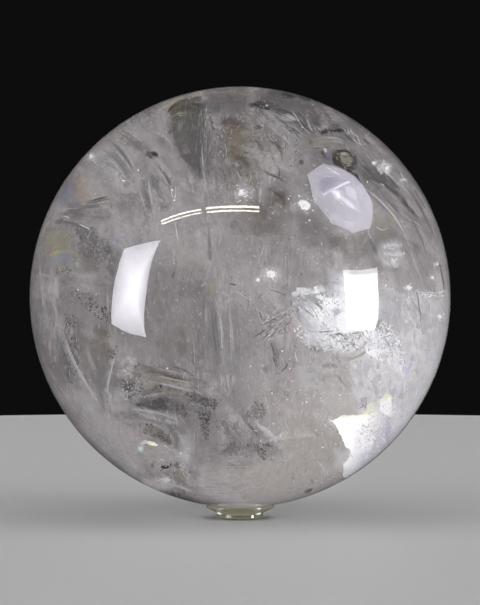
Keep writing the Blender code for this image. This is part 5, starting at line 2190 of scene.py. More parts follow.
# Soft strands: tint, density, depth, width in pixels, path
STRANDS = {
    "fan_pale_a": (grey(176), 0.5, 0.05, 3.2, [(98, 150), (110, 158), (122, 170), (131, 184)]),
    "fan_pale_b": (grey(168), 0.5, 0.05, 3.0, [(106, 142), (118, 152), (128, 165), (135, 181)]),
    "fan_pale_c": (grey(166), 0.7, 0.05, 2.6, [(112, 138), (125, 150), (134, 166), (139, 180)]),
    "fan_pale_d": (grey(170), 0.7, 0.05, 2.4, [(92, 160), (106, 167), (117, 176), (125, 186)]),
    "fan_pale_e": (grey(166), 0.5, 0.05, 3.0, [(144, 148), (157, 159), (170, 172), (182, 186)]),
    "fan_pale_f": (grey(166), 0.5, 0.05, 3.4, [(170, 150), (183, 161), (195, 172), (204, 180)]),
    "fan_pale_g": (grey(162), 0.7, 0.05, 2.6, [(152, 164), (162, 175), (170, 190)]),
    "fan_dark_a": (grey(102), 0.5, 0.045, 2.6, [(102, 147), (113, 156), (124, 168), (132, 180)]),
    "fan_dark_b": (grey(98), 0.5, 0.045, 2.6, [(108, 140), (120, 150), (130, 164), (136, 176)]),
    "fan_dark_c": (grey(110), 0.4, 0.05, 4.5, [(118, 130), (131, 138), (143, 149), (150, 160)]),
    "fan_dark_d": (grey(108), 0.5, 0.05, 3.0, [(150, 158), (162, 170), (172, 184), (176, 198)]),
    "fan_dark_e": (grey(104), 0.7, 0.05, 2.6, [(176, 150), (188, 161), (199, 173)]),
    "leaf_a": (shade(104, 96, 98), 0.5, 0.05, 3.6, [(141, 178), (146, 191), (149, 206), (152, 222)]),
    "leaf_b": (grey(168), 0.7, 0.05, 2.0, [(137, 180), (141, 196), (146, 212), (150, 224)]),
    "leaf_c": (grey(166), 0.7, 0.05, 2.0, [(148, 180), (151, 196), (153, 212)]),
    "dash_left": (shade(84, 79, 72), 0.8, 0.05, 3.0, [(84, 203), (94, 201), (104, 198.5), (114, 197)]),
    "dash_left_low": (grey(100), 0.7, 0.05, 2.6, [(70, 210), (84, 207), (98, 206), (112, 204)]),
    "smoke_left_a": (grey(104), 0.5, 0.05, 3.4, [(58, 214), (74, 212), (90, 216), (104, 216)]),
    "smoke_left_b": (grey(100), 0.45, 0.05, 4.0, [(54, 224), (66, 220), (80, 224), (94, 230)]),
    "dark_down": (grey(90), 0.5, 0.05, 3.6, [(158, 168), (165, 174), (170, 184), (172, 196)]),
    "dark_down_b": (grey(98), 0.45, 0.05, 5.0, [(150, 176), (156, 184), (160, 194), (168, 206)]),
    "top_pale_a": (grey(160), 0.7, 0.05, 2.8, [(262, 111), (274, 114), (287, 120), (300, 130)]),
    "top_pale_b": (grey(156), 0.7, 0.05, 3.4, [(262, 120), (274, 128), (286, 138), (298, 150)]),
    "top_dark_a": (grey(84), 0.8, 0.045, 2.6, [(262, 107), (278, 109), (292, 114), (304, 123)]),
    "top_dark_b": (grey(80), 0.8, 0.045, 2.4, [(296, 117), (303, 124), (309, 131), (315, 136)]),
    "top_dark_c": (grey(96), 0.7, 0.05, 3.0, [(270, 116), (284, 124), (296, 135), (304, 146)]),
    "top_dark_d": (shade(98, 90, 82), 0.7, 0.05, 3.0, [(264, 138), (274, 142), (282, 152), (284, 166)]),
    "marble_b": (shade(92, 84, 76), 0.55, 0.05, 2.6, [(222, 124), (233, 128), (243, 126), (254, 132)]),
    "marble_c": (
        shade(92, 86, 78), 0.55, 0.05, 2.6,
        [(236, 138), (246, 142), (256, 140), (263, 148), (262, 160)],
    ),
    "marble_d": (
        shade(96, 90, 82), 0.7, 0.05, 3.0,
        [(222, 146), (230, 154), (242, 158), (250, 168), (250, 180)],
    ),
    "marble_f": (grey(156), 0.7, 0.05, 3.4, [(228, 136), (238, 146), (252, 150), (268, 154), (280, 160)]),
    "marble_g": (grey(158), 0.7, 0.05, 3.6, [(256, 152), (270, 160), (284, 168), (298, 172), (304, 182)]),
    "marble_h": (shade(94, 86, 78), 0.7, 0.05, 3.0, [(258, 166), (268, 174), (280, 178), (288, 186)]),
    "marble_i": (shade(90, 82, 75), 0.7, 0.05, 3.4, [(266, 190), (276, 194), (284, 200), (282, 210)]),
    "marble_j": (grey(152), 0.6, 0.05, 3.0, [(232, 166), (240, 176), (244, 188), (252, 198)]),
    "eye_arc_a": (
        shade(170, 167, 158), 0.6, 0.04, 2.0,
        [(311, 141.5), (322, 137.5), (336, 138), (347, 142)],
    ),
    "eye_arc_b": (
        shade(84, 80, 76), 0.7, 0.038, 1.6,
        [(329, 152.5), (336, 150.5), (344, 150.5), (351, 153), (355, 158)],
    ),
    "eye_arc_d": (
        shade(58, 54, 52), 0.8, 0.032, 1.6,
        [(334.5, 156), (336.5, 160.5), (340, 164), (344, 166.5)],
    ),
    "arc_a": (
        grey(182), 0.9, 0.035, 1.4,
        [(364, 187), (374, 194), (386, 206), (396, 218), (404, 232), (410, 248)],
    ),
    "arc_b": (grey(168), 0.85, 0.035, 1.3, [(408, 243), (413, 258), (418, 272), (425, 288)]),
    "arc_c": (
        grey(84), 0.85, 0.04, 2.2,
        [(366, 174), (378, 179), (389, 188), (400, 196), (410, 208), (420, 221)],
    ),
    "arc_d": (grey(164), 0.8, 0.04, 2.0, [(392, 186), (404, 194), (412, 206), (420, 218), (428, 232)]),
    "arc_e": (grey(102), 0.6, 0.04, 2.2, [(398, 180), (409, 190), (419, 205), (428, 222), (434, 238)]),
    "arc_f": (grey(92), 0.7, 0.04, 3.0, [(374, 168), (386, 174), (394, 184), (404, 192)]),
    "arc_g": (grey(106), 0.6, 0.04, 2.2, [(378, 190), (388, 199), (397, 210), (403, 222)]),
    "arc_h": (grey(168), 0.7, 0.04, 2.6, [(408, 176), (418, 190), (427, 206), (434, 222)]),
    "arc_i": (grey(110), 0.6, 0.04, 2.0, [(408, 214), (416, 228), (423, 244), (428, 262)]),
    "arc_j": (grey(162), 0.6, 0.04, 2.0, [(414, 214), (424, 232), (431, 250), (436, 270)]),
    "side_dark": (grey(96), 0.7, 0.04, 1.2, [(436, 250), (441, 268), (444, 286), (446, 302)]),
    "side_pale": (grey(176), 0.7, 0.04, 1.2, [(430, 254), (436, 272), (440, 290), (442, 308)]),
    "side_crack": (grey(140), 0.7, 0.04, 1.2, [(415, 285), (418, 298), (420, 312), (423, 332)]),
    "under_panel_streak": (grey(108), 0.7, 0.05, 3.0, [(366, 234), (372, 244), (378, 256), (384, 270)]),
    "mid_pale_a": (grey(160), 0.6, 0.06, 4.0, [(196, 210), (197, 230), (199, 250), (200, 268)]),
    "mid_pale_b": (grey(166), 0.7, 0.06, 3.6, [(218, 296), (219, 316), (222, 340), (225, 372)]),
    "mid_pale_c": (grey(164), 0.6, 0.06, 3.0, [(230, 300), (231, 325), (233, 350), (234, 376)]),
    "mid_dark_a": (grey(104), 0.6, 0.06, 4.0, [(213, 300), (214, 320), (217, 346), (219, 374)]),
    "mid_dark_b": (grey(112), 0.6, 0.06, 3.0, [(192, 338), (193, 352), (195, 368), (197, 382)]),
    "mid_dark_c": (grey(112), 0.5, 0.06, 4.0, [(208, 220), (209, 240), (210, 256), (212, 272)]),
    "shelf_a": (shade(190, 182, 168), 0.8, 0.032, 2.6, [(343, 360), (352, 355), (361, 349), (368, 346)]),
    "shelf_b": (shade(164, 158, 146), 0.8, 0.032, 3.2, [(347, 361), (357, 357), (366, 352), (370, 350)]),
    "facet_soft_a": (grey(146), 0.6, 0.04, 3.0, [(333, 371), (341, 379), (348, 387), (352, 394)]),
    "facet_soft_b": (grey(196), 0.6, 0.04, 3.0, [(340, 366), (349, 377), (356, 388), (360, 396)]),
    "facet_soft_c": (grey(152), 0.6, 0.04, 3.0, [(352, 364), (358, 374), (362, 384), (366, 396)]),
    "ridge_a": (
        grey(172), 0.7, 0.05, 2.4,
        [(60, 326), (66, 344), (75, 364), (86, 384), (97, 400), (106, 418)],
    ),
    "ridge_b": (grey(166), 0.6, 0.05, 2.2, [(117, 344), (112, 366), (107, 386), (105, 404), (109, 422)]),
    "ridge_c": (grey(104), 0.5, 0.05, 3.0, [(64, 326), (71, 346), (80, 366), (91, 386), (101, 402)]),
    "ridge_d": (grey(110), 0.6, 0.05, 3.0, [(120, 350), (116, 368), (112, 388), (110, 404)]),
    "ridge_e": (grey(158), 0.4, 0.05, 3.6, [(84, 340), (91, 360), (99, 380), (105, 400)]),
    "limb_pale_a": (grey(172), 0.5, 0.04, 3.0, [(40, 258), (42, 280), (44, 304), (48, 330)]),
    "limb_pale_b": (grey(164), 0.6, 0.04, 3.0, [(52, 262), (53, 284), (55, 306), (60, 330)]),
    "limb_dark_b": (grey(104), 0.6, 0.04, 3.6, [(56, 334), (62, 352), (70, 372), (80, 392)]),
    "ledge_dark_a": (
        shade(96, 90, 84), 0.85, 0.045, 3.0,
        [(140, 367), (153, 371), (166, 375), (180, 378), (198, 381)],
    ),
    "ledge_dark_b": (shade(100, 96, 88), 0.8, 0.045, 2.6, [(150, 377), (166, 380), (184, 384)]),
    "ledge_dark_c": (grey(104), 0.8, 0.045, 2.6, [(165, 364), (180, 368), (191, 373), (197, 379)]),
    "ledge_pale_a": (
        shade(162, 158, 150), 0.65, 0.045, 2.2,
        [(138, 375), (156, 376), (174, 380), (200, 385)],
    ),
    "ledge_pale_b": (
        shade(160, 155, 147), 0.65, 0.045, 2.0,
        [(150, 366), (166, 370), (184, 374), (198, 377)],
    ),
    "ledge_pale_c": (grey(164), 0.7, 0.045, 2.6, [(144, 382), (160, 384), (180, 389), (196, 393)]),
    "lens_under_a": (
        shade(166, 163, 155), 0.65, 0.04, 2.6,
        [(128, 409), (144, 410.5), (158, 413), (170, 416.5), (184, 423)],
    ),
    "lens_under_b": (grey(120), 0.5, 0.042, 3.4, [(130, 414), (146, 416), (160, 419), (172, 424)]),
    "lens_under_c": (grey(162), 0.4, 0.04, 2.6, [(130, 419), (146, 421), (160, 426), (170, 434)]),
    "lens_over": (grey(168), 0.7, 0.04, 2.4, [(126, 403), (140, 398.5), (154, 394.5), (170, 393.5)]),
    "dome_side": (grey(172), 0.5, 0.05, 4.0, [(172, 424), (180, 436), (186, 450), (186, 466)]),
    "dome_side_b": (grey(112), 0.6, 0.05, 3.0, [(164, 422), (172, 432), (177, 444)]),
    "low_wave_a": (grey(168), 0.6, 0.04, 3.0, [(120, 440), (124, 452), (132, 464), (146, 474)]),
    "low_wave_b": (grey(126), 0.6, 0.04, 3.0, [(150, 470), (166, 474), (182, 482), (198, 492)]),
    "low_wave_c": (grey(176), 0.6, 0.04, 2.6, [(156, 480), (172, 484), (188, 490), (204, 498)]),
    "corner_a": (grey(184), 0.7, 0.05, 3.4, [(252, 420), (262, 427), (272, 435), (281, 446)]),
    "corner_b": (grey(108), 0.7, 0.05, 3.0, [(240, 418), (248, 424), (256, 434), (262, 446)]),
    "eye_arc_f": (
        shade(166, 162, 152), 0.6, 0.04, 1.8,
        [(313, 144.5), (324, 140.5), (338, 141.5), (350, 147)],
    ),
    "eye_arc_g": (grey(78), 0.8, 0.027, 1.2, [(341, 159.5), (344, 162), (348.5, 163)]),
    "eye_arc_h": (grey(86), 0.75, 0.032, 1.4, [(353, 153.5), (355.5, 158), (356.5, 163), (355, 167)]),
    "eye_arc_i": (shade(150, 145, 128), 0.7, 0.036, 1.8, [(313, 147.5), (319, 146.5), (327, 147.5)]),
    "eye_violet": (shade(112, 108, 132), 0.8, 0.036, 3.0, [(321, 151), (326, 154), (331, 159), (337, 165)]),
    "shard_dark": (grey(78), 0.8, 0.035, 2.2, [(344, 133), (348, 137), (352, 141), (358, 144)]),
    "shard_tail": (grey(92), 0.7, 0.035, 2.0, [(362, 138), (368, 143), (375, 150)]),
    "fall_violet": (shade(204, 202, 234), 0.6, 0.035, 4.0, [(403, 360), (406, 367), (406, 377)]),
    "plane_violet": (
        shade(196, 190, 212), 0.8, 0.034, 3.4,
        [(388, 412), (388.5, 424), (387, 438), (386, 446)],
    ),
    "plane_violet_b": (shade(206, 202, 216), 0.6, 0.034, 4.0, [(396, 388), (397, 402), (396, 414)]),
    "wedge_arc_a": (shade(78, 80, 70), 0.7, 0.045, 2.2, [(186, 106), (192, 103.5), (199, 105), (206, 108)]),
    "wedge_arc_b": (shade(84, 84, 74), 0.7, 0.045, 2.0, [(188, 111), (195, 109), (202, 112), (208, 116)]),
    "wedge_notch": (shade(80, 72, 62), 0.8, 0.04, 2.6, [(168, 114), (170, 109), (175, 105), (183, 102)]),
    "wedge_side": (shade(92, 84, 76), 0.7, 0.045, 3.0, [(173, 142), (177, 145), (183, 146)]),
    "limb_pale_wide": (grey(168), 0.55, 0.045, 6.0, [(54, 272), (56, 288), (57, 306)]),
    "eye_line_a": (
        grey(56), 0.9, 0.026, 1.3,
        [(337.5, 161.5), (339.5, 158), (344.5, 156), (350, 157.4), (353.6, 161.5)],
    ),
    "eye_line_b": (grey(74), 0.85, 0.026, 1.0, [(340.5, 164), (343.5, 161.5), (347.5, 161), (351, 163.5)]),
    "eye_line_c": (
        grey(44), 0.9, 0.027, 2.0,
        [(332.5, 155), (333.5, 160), (337, 164.5), (342, 167.5), (347, 169)],
    ),
    "eye_line_d": (
        grey(62), 0.85, 0.027, 1.6,
        [(333, 153), (338, 150.5), (344, 150), (349, 151.5), (354, 155)],
    ),
    "eye_line_e": (
        shade(180, 176, 164), 0.85, 0.025, 1.2,
        [(338.5, 155), (343, 153.4), (348.5, 153.8), (352.5, 156.8)],
    ),
    "eye_line_f": (shade(170, 166, 154), 0.8, 0.025, 1.0, [(336, 156.5), (336.5, 159.5), (338.6, 162.5)]),
    "eye_arc_c": (grey(160), 0.8, 0.028, 1.3, [(337, 154.5), (341, 152.6), (348, 153.2), (352.5, 156.4)]),
    "eye_arc_e": (
        grey(176), 0.8, 0.028, 1.2,
        [(340.5, 157.6), (345, 156.4), (349.5, 158.2), (351.5, 161.4)],
    ),
    "eye_line_g": (
        shade(164, 158, 138), 0.8, 0.025, 1.0,
        [(343, 165.5), (347, 166.3), (351.5, 165.4), (353.6, 163)],
    ),
}

# Twinkling points, painted glints of white glowing grains: size in pixels, pixel
GLINTS = {
    "limb": [(2.6, 90.5, 154), (3.0, 91.5, 157), (2.4, 93.5, 160), (1.8, 95, 162), (1.6, 84, 160)],
    "upper": [
        (1.8, 337.5, 154), (2.6, 373.5, 163), (2.2, 302.5, 127.5), (2.2, 267, 105.5), (2.0, 367.5, 182),
    ],
    "centre": [(1.1, 250.5, 366), (1.3, 271.5, 393), (1.5, 300.5, 390), (1.3, 290, 368.5), (1.0, 306, 395)],
    "side": [
        (2.0, 443, 314), (2.0, 440, 320), (1.8, 429, 331), (1.6, 397, 300), (1.8, 404, 253),
        (1.8, 386, 286),
    ],
    "left": [
        (2.0, 173.5, 200), (1.6, 172, 190), (1.4, 175, 196), (1.8, 124, 181), (1.6, 138.5, 170.5),
        (1.6, 78, 290),
    ],
    "tubes": [(1.6, 299, 197), (1.8, 309, 221), (1.6, 240, 201), (1.6, 238, 202)],
    "low": [
        (1.8, 181, 453), (1.6, 168, 368), (1.6, 317, 493), (1.4, 302, 404), (1.5, 307, 402),
        (1.4, 282, 351),
    ],
    "crush": [
        (2.4, 302, 295), (2.0, 306, 294), (2.0, 297, 304), (2.2, 396, 366), (2.2, 401, 368),
        (2.0, 393, 363),
    ],
}

# Flashing fractures, painted as glowing white flashes with a bloom: pixel, size in pixels
BURSTS = {
    "by_panel": (304.3, 205, 7.8),
    "centre_a": (271, 274, 6.6),
    "centre_b": (258, 280, 2.2),
    "by_tubes": (243, 193, 6.6),
    "right_a": (408, 288, 4.2),
    "right_b": (432.5, 277.5, 2.6),
    "right_c": (437, 264, 2.2),
    "right_d": (440, 317, 3.2),
    "ledge_a": (393, 262, 4.6),
    "limb_left": (91.5, 157, 4.0),
    "low_right": (399, 367, 5.6),
    "crumple_a": (296, 304, 3.6),
    "crumple_b": (303, 295, 3.0),
    "upper_right_a": (387, 168, 3.4),
    "upper_right_b": (404, 180, 2.6),
    "upper_right_c": (374, 163, 1.8),
}

# Dendrites: grain size in pixels, level, path
DENDRITES = {
    "chain_top": (1.2, 60, [(186, 394), (192, 396), (196, 398), (203, 400), (207, 401)]),
    "chain_side": (1.2, 62, [(213, 400), (217, 404), (214, 408), (212, 411)]),
    "chain_middle": (1.3, 56, [(198, 412), (203, 414), (206, 411), (208, 417), (205, 421)]),
    "chain_down": (1.2, 60, [(205, 418), (207, 423), (205, 428), (205, 433), (207, 436)]),
    "chain_across": (1.1, 66, [(197, 416), (203, 418), (209, 420)]),
    "chain_small": (1.3, 74, [(184, 411), (187, 414), (186, 417)]),
    "low_a": (1.1, 58, [(222, 452), (226, 449), (230, 446), (233, 441)]),
    "low_b": (1.0, 62, [(229, 452), (234, 450), (238, 454)]),
    "low_c": (1.0, 66, [(255, 402), (258, 407), (261, 412), (262, 418)]),
    "low_e": (1.1, 58, [(257, 445), (261, 450), (265, 458)]),
    "low_g": (1.1, 60, [(263, 445), (268, 444), (271, 446)]),
    "wing": (1.0, 70, [(251, 409), (256, 412), (262, 404), (263, 412)]),
    "black_a": (2.2, 24, [(164, 466.5), (167, 467.5), (170, 467)]),
    "black_b": (1.8, 40, [(152, 464.5), (154, 466.5)]),
    "black_c": (1.4, 60, [(176, 463), (179, 466)]),
    "left_a": (1.3, 80, [(121, 369), (125, 368), (129, 371)]),
    "left_b": (1.3, 80, [(136, 367), (139, 368)]),
    "left_c": (1.2, 84, [(127, 396), (132, 398), (134, 395)]),
    "left_d": (1.1, 80, [(71, 288), (75, 289), (78, 291)]),
    "tuft": (1.3, 66, [(311, 345), (314, 347), (316, 350), (314, 344)]),
    "tuft_arms": (1.3, 84, [(311, 349), (314, 347), (318, 345)]),
    "plane_a": (1.2, 184, [(355, 437), (355.3, 440)]),
    "plane_b": (1.4, 170, [(359.5, 444), (360, 445)]),
    "plane_c": (1.3, 176, [(371, 429), (372, 431)]),
    "plane_d": (1.2, 150, [(369, 413), (370, 418)]),
    "low_f": (1.2, 100, [(316, 434), (318.5, 435.5)]),
    "left_e": (1.8, 74, [(109, 253), (112, 254)]),
    "upper": (1.4, 80, [(322, 152), (326, 157)]),
    "side_dot": (1.8, 90, [(438.5, 266), (438.7, 267.5)]),
}

WHITE_PLANE = [
    (330, 421), (336, 417), (345, 415.5), (355, 415), (362, 413.5), (367, 410), (380, 404), (394, 406),
    (408, 396), (418, 404), (404, 430), (388, 448), (368, 464), (350, 478), (345, 477), (343, 468),
    (344, 461), (349, 456), (349.5, 451), (346, 446), (342, 439), (339, 431), (334, 425),
]

# Where the white plane turns greyer, on a slope and at its foot, and its yellow top edge
FADE_FROM = (357, 430)
FADE_SLOPE = 0.55
FADE_WIDTH = 26.0
FOOT_FROM = 458
FOOT_WIDTH = 12.0
TOP_EDGE = (335, 415.5)
TOP_SLOPE = 0.10
TOP_WIDTH = 3.0
TOP_END = 372


def white_plane_tint(x, y):
    """White at its core, yellow along the top edge, and greyer lavender out to the limb."""
    fade = np.clip((x + FADE_SLOPE * (y - FADE_FROM[1]) - FADE_FROM[0]) / FADE_WIDTH, 0.0, 1.0)
    foot = np.clip((y - FOOT_FROM) / FOOT_WIDTH, 0.0, 1.0)
    fade = max(fade, 0.75 * foot)
    tint = shade(255, 255, 255) * 1.2 * (1.0 - fade) + shade(206, 203, 213) * fade
    top = TOP_EDGE[1] - TOP_SLOPE * (x - TOP_EDGE[0])
    warm = math.exp(-(((y - top) / TOP_WIDTH) ** 2)) * (1.0 if x < TOP_END else 0.0)
    return tint * (1.0 - warm) + shade(240, 238, 196) * warm


def between(stops, at):
    """The tint at a point among stops, each of which is a point and its tint."""
    points = [point for point, tint in stops]
    return np.array([np.interp(at, points, [tint[k] for point, tint in stops]) for k in range(3)])


RAINBOW = [(50, 252), (56, 249), (70, 249), (82, 257), (80, 261), (70, 262), (52, 261)]
RAINBOW_MIDDLE = (64, 262)
RAINBOW_REACH = (17.0, 13.0)
# Its bands from the middle out, as shares of its reach
RAINBOW_BANDS = [
    (0.0, shade(138, 140, 148)), (0.62, shade(134, 139, 152)), (0.78, shade(146, 158, 138)),
    (0.90, shade(172, 174, 124)), (1.05, shade(182, 134, 98)), (1.2, shade(112, 104, 104)),
]


def rainbow_tint(x, y):
    """Bands of spectral colour that curve over a grey-blue core."""
    across = (x - RAINBOW_MIDDLE[0]) / RAINBOW_REACH[0]
    down = (y - RAINBOW_MIDDLE[1]) / RAINBOW_REACH[1]
    return between(RAINBOW_BANDS, math.hypot(across, down))


ARC = [
    (139, 443), (145, 440.5), (150, 441.2), (155, 443), (158.5, 445), (156, 446.3), (151, 445),
    (146, 443.5), (141, 445),
]
# Its tints from left to right
ARC_FLASHES = [
    (138, shade(170, 168, 176)), (146, shade(200, 194, 200)), (150, shade(240, 236, 186)),
    (154, shade(255, 250, 250)), (158, shade(246, 226, 246)), (161, shade(196, 190, 190)),
]


def arc_tint(x, y):
    """A fracture's edge that flashes yellow, white and pink."""
    return between(ARC_FLASHES, x)


CYAN_SPOT = [(138, 446.5), (141, 445), (143.3, 446.5), (142.8, 450), (140.5, 451.5), (138.2, 449.5)]
PURPLE_PATCH = [(356, 401), (361, 399), (366, 398), (366.5, 408), (361, 411), (356, 409)]

# Bright and coloured planes: outline, tint, density, depth, soft edge and mesh step in pixels,
# how much deeper they lie 100 pixels to the right and 100 pixels down, raggedness
FLASHES = {
    "white_plane": (WHITE_PLANE, white_plane_tint, 0.99, 0.055, 1.6, 0.9, (0.08, -0.08), 0.9),
    "rainbow": (RAINBOW, rainbow_tint, 0.65, 0.05, 6.0, 1.0, (0.25, -0.15), 0.6),
    "arc": (ARC, arc_tint, 0.95, 0.03, 1.8, 0.6, (0.25, -0.15), 0.6),
    "cyan_spot": (CYAN_SPOT, shade(190, 218, 212), 0.7, 0.03, 4.5, 0.8, (0.25, -0.15), 0.6),
    "purple_patch": (PURPLE_PATCH, shade(160, 154, 172), 0.7, 0.035, 4.0, 0.8, (0.25, -0.15), 1.6),
}

# Regions that streaks, shreds, needles and specks fill
WEDGE = [(172, 118), (180, 108), (204, 106), (205, 150), (204, 176), (192, 168), (178, 148)]
BESIDE_WEDGE = [(201, 112), (208, 108), (211, 150), (209, 196), (203, 198), (201, 160)]
SPECKLED = [(76, 228), (90, 230), (100, 236), (110, 241), (110, 249), (98, 258), (84, 258), (74, 246)]
CRUMPLED = [(292, 298), (346, 290), (378, 318), (404, 340), (410, 372), (370, 352), (330, 352), (300, 344)]
CLUSTERS = {
    "cluster_a": [(64, 314), (76, 316), (76, 327), (66, 326)],
    "cluster_b": [(70, 336), (76, 338), (77, 350), (71, 348)],
    "cluster_c": [(60, 350), (68, 354), (72, 366), (64, 364)],
    "cluster_d": [(66, 366), (73, 369), (75, 386), (68, 382)],
    "cluster_e": [(108, 348), (118, 345), (116, 357), (106, 360)],
    "cluster_f": [(126, 388), (142, 382), (146, 390), (132, 400)],
    "cluster_g": [(156, 384), (164, 386), (162, 393), (154, 391)],
    "cluster_h": [(83, 430), (92, 438), (90, 446), (82, 440)],
    "cluster_i": [(146, 420), (154, 424), (150, 436), (142, 432)],
    "cluster_j": [(54, 268), (74, 266), (76, 272), (56, 274)],
}
TOP_MIDDLE = [(206, 112), (246, 106), (286, 120), (302, 140), (298, 166), (262, 186), (212, 190)]
LEDGE_FLAKES = [(296, 384), (312, 388), (330, 392), (350, 390), (350, 402), (326, 404), (306, 396)]
FALLEN = [(290, 352), (340, 352), (356, 366), (352, 390), (318, 392), (292, 384)]
SPECK_BAND = [(74, 288), (86, 291), (112, 312), (113, 325), (98, 319), (80, 304)]
LOW_BAND = [(60, 312), (76, 316), (80, 346), (82, 384), (70, 376), (62, 340)]
SHARD = [(343, 130), (350, 128), (359, 138), (362, 146), (355, 142), (348, 136)]
FUZZ = [(374, 159), (386, 160), (392, 168), (388, 178), (380, 174), (374, 166)]
NETTED = [(376, 318), (388, 322), (399, 334), (405, 352), (404, 366), (392, 360), (380, 346)]
CRUSH_FOOT = [(292, 330), (330, 334), (366, 334), (367, 346), (350, 352), (330, 351), (306, 347)]
FALLING = [(386, 352), (400, 356), (406, 368), (404, 377), (396, 372), (388, 362)]
SIDE_SHELF = [(417, 291), (430, 292), (446, 291), (446, 297), (432, 298), (418, 297)]
BY_PLANE = [(390, 402), (400, 404), (402, 424), (394, 430), (388, 418)]
DARK_TOP = [(249, 104), (260, 101), (276, 103), (279, 107), (270, 109), (256, 107)]
LEAD = [(288, 300), (294, 308), (290, 322), (272, 340), (258, 338), (262, 320), (276, 306)]
DOME = [(158, 432), (166, 434), (172, 444), (166, 444), (156, 437)]
TREE_TOP = [(186, 392), (194, 393), (202, 397), (216, 399), (219, 406), (212, 410), (200, 404), (188, 399)]
TREE_TRUNK = [(198, 408), (211, 409), (210, 424), (208, 440), (203, 441), (200, 424)]
TREE_LOW = [(221, 454), (229, 444), (233, 440), (240, 447), (243, 455), (232, 457)]
TREE_CLUSTER = [(250, 444), (262, 442), (272, 444), (268, 452), (266, 462), (258, 456)]
TREE_WING = [(248, 412), (253, 403), (262, 398), (267, 408), (264, 418), (254, 420)]
STITCHED = [(124, 372), (142, 374), (146, 398), (132, 406), (120, 396)]
CREASES = [(150, 462), (182, 460), (206, 476), (222, 498), (196, 500), (166, 484)]
WHITE_SPECKLE = [(362, 424), (380, 420), (388, 436), (376, 456), (362, 460), (358, 440)]
PLANE_SPECKLE = [(352, 424), (372, 416), (376, 440), (366, 456), (354, 450)]
CHUNKY_EDGE = [(378, 404), (396, 402), (398, 416), (386, 424), (378, 414)]
LEFT_HALF = [
    (36, 250), (60, 180), (110, 125), (170, 96), (240, 90), (240, 500), (170, 492), (100, 450), (50, 370),
]
RIGHT_HALF = [
    (240, 90), (300, 96), (370, 135), (420, 190), (446, 270), (446, 330), (420, 400), (350, 474),
    (240, 500),
]
UPPER_LEFT = [(60, 190), (110, 130), (168, 100), (200, 110), (200, 200), (120, 214), (60, 214)]
UPPER_RIGHT = [
    (300, 100), (345, 118), (392, 156), (424, 200), (444, 262), (420, 262), (380, 204), (340, 150),
    (300, 130),
]
TOP_FIBRES = [(176, 104), (260, 96), (276, 140), (262, 204), (200, 204), (176, 160)]
LOWER_LEFT = [(110, 360), (214, 360), (226, 420), (210, 486), (150, 476), (112, 430)]
CENTRE_FIBRES = [(196, 260), (300, 250), (300, 380), (240, 400), (196, 380)]
LOWER_RIGHT = [(290, 366), (420, 366), (412, 410), (350, 474), (300, 490), (262, 460)]
LEFT_RIM = [(34, 268), (66, 262), (72, 330), (92, 400), (70, 396), (40, 340)]
RIGHT_RIM = [(404, 200), (430, 216), (446, 280), (440, 350), (418, 330), (410, 260)]


def show(sheets, table, step=1.6):
    """The sheets of one table, in a mesh fine enough for their soft edges."""
    for name, (tint, dense, depth, soft, outline) in table.items():
        fine = min(max(0.7, soft * 0.4), step)
        sheets.patch(name, outline, tint, dense, depth, soft, fine, ragged=1.0)


def show_flashes(sheets, grains):
    """The bright plane, the coloured ones and the flashing fractures."""
    for name, row in FLASHES.items():
        sheets.patch(name, *row)
    for name, (x, y, size) in BURSTS.items():
        burst(sheets, grains, name, x, y, size)


def show_lines(grains, table, depth):
    """The lines of one table, each sloping a little into the stone or out of it."""
    for name, (width, level, path) in table.items():
        line(grains, path, width, grey(level), depth, random.Random(name).uniform(-0.02, 0.02))


def show_strands(sheets):
    """The soft strands."""
    for name, (tint, dense, depth, width, path) in STRANDS.items():
        strand(sheets, name, path, width, tint, dense, depth)


def show_points(dark, bright):
    """The twinkling points, painted glints each of three white glowing grains, and the dendrites."""
    for name, points in GLINTS.items():
        chance = random.Random(name)
        for size, x, y in points:
            for _ in range(3):
                at = (x + chance.gauss(0, 0.5), y + chance.gauss(0, 0.5))
                place = spot(*at, chance.uniform(0.03, 0.045))
                bright.grain(place, pixels_wide(size), WHITE, chance)
    for name, (size, level, path) in DENDRITES.items():
        branches(dark, name, path, size, level, 0.035, reach=3.0 * size)


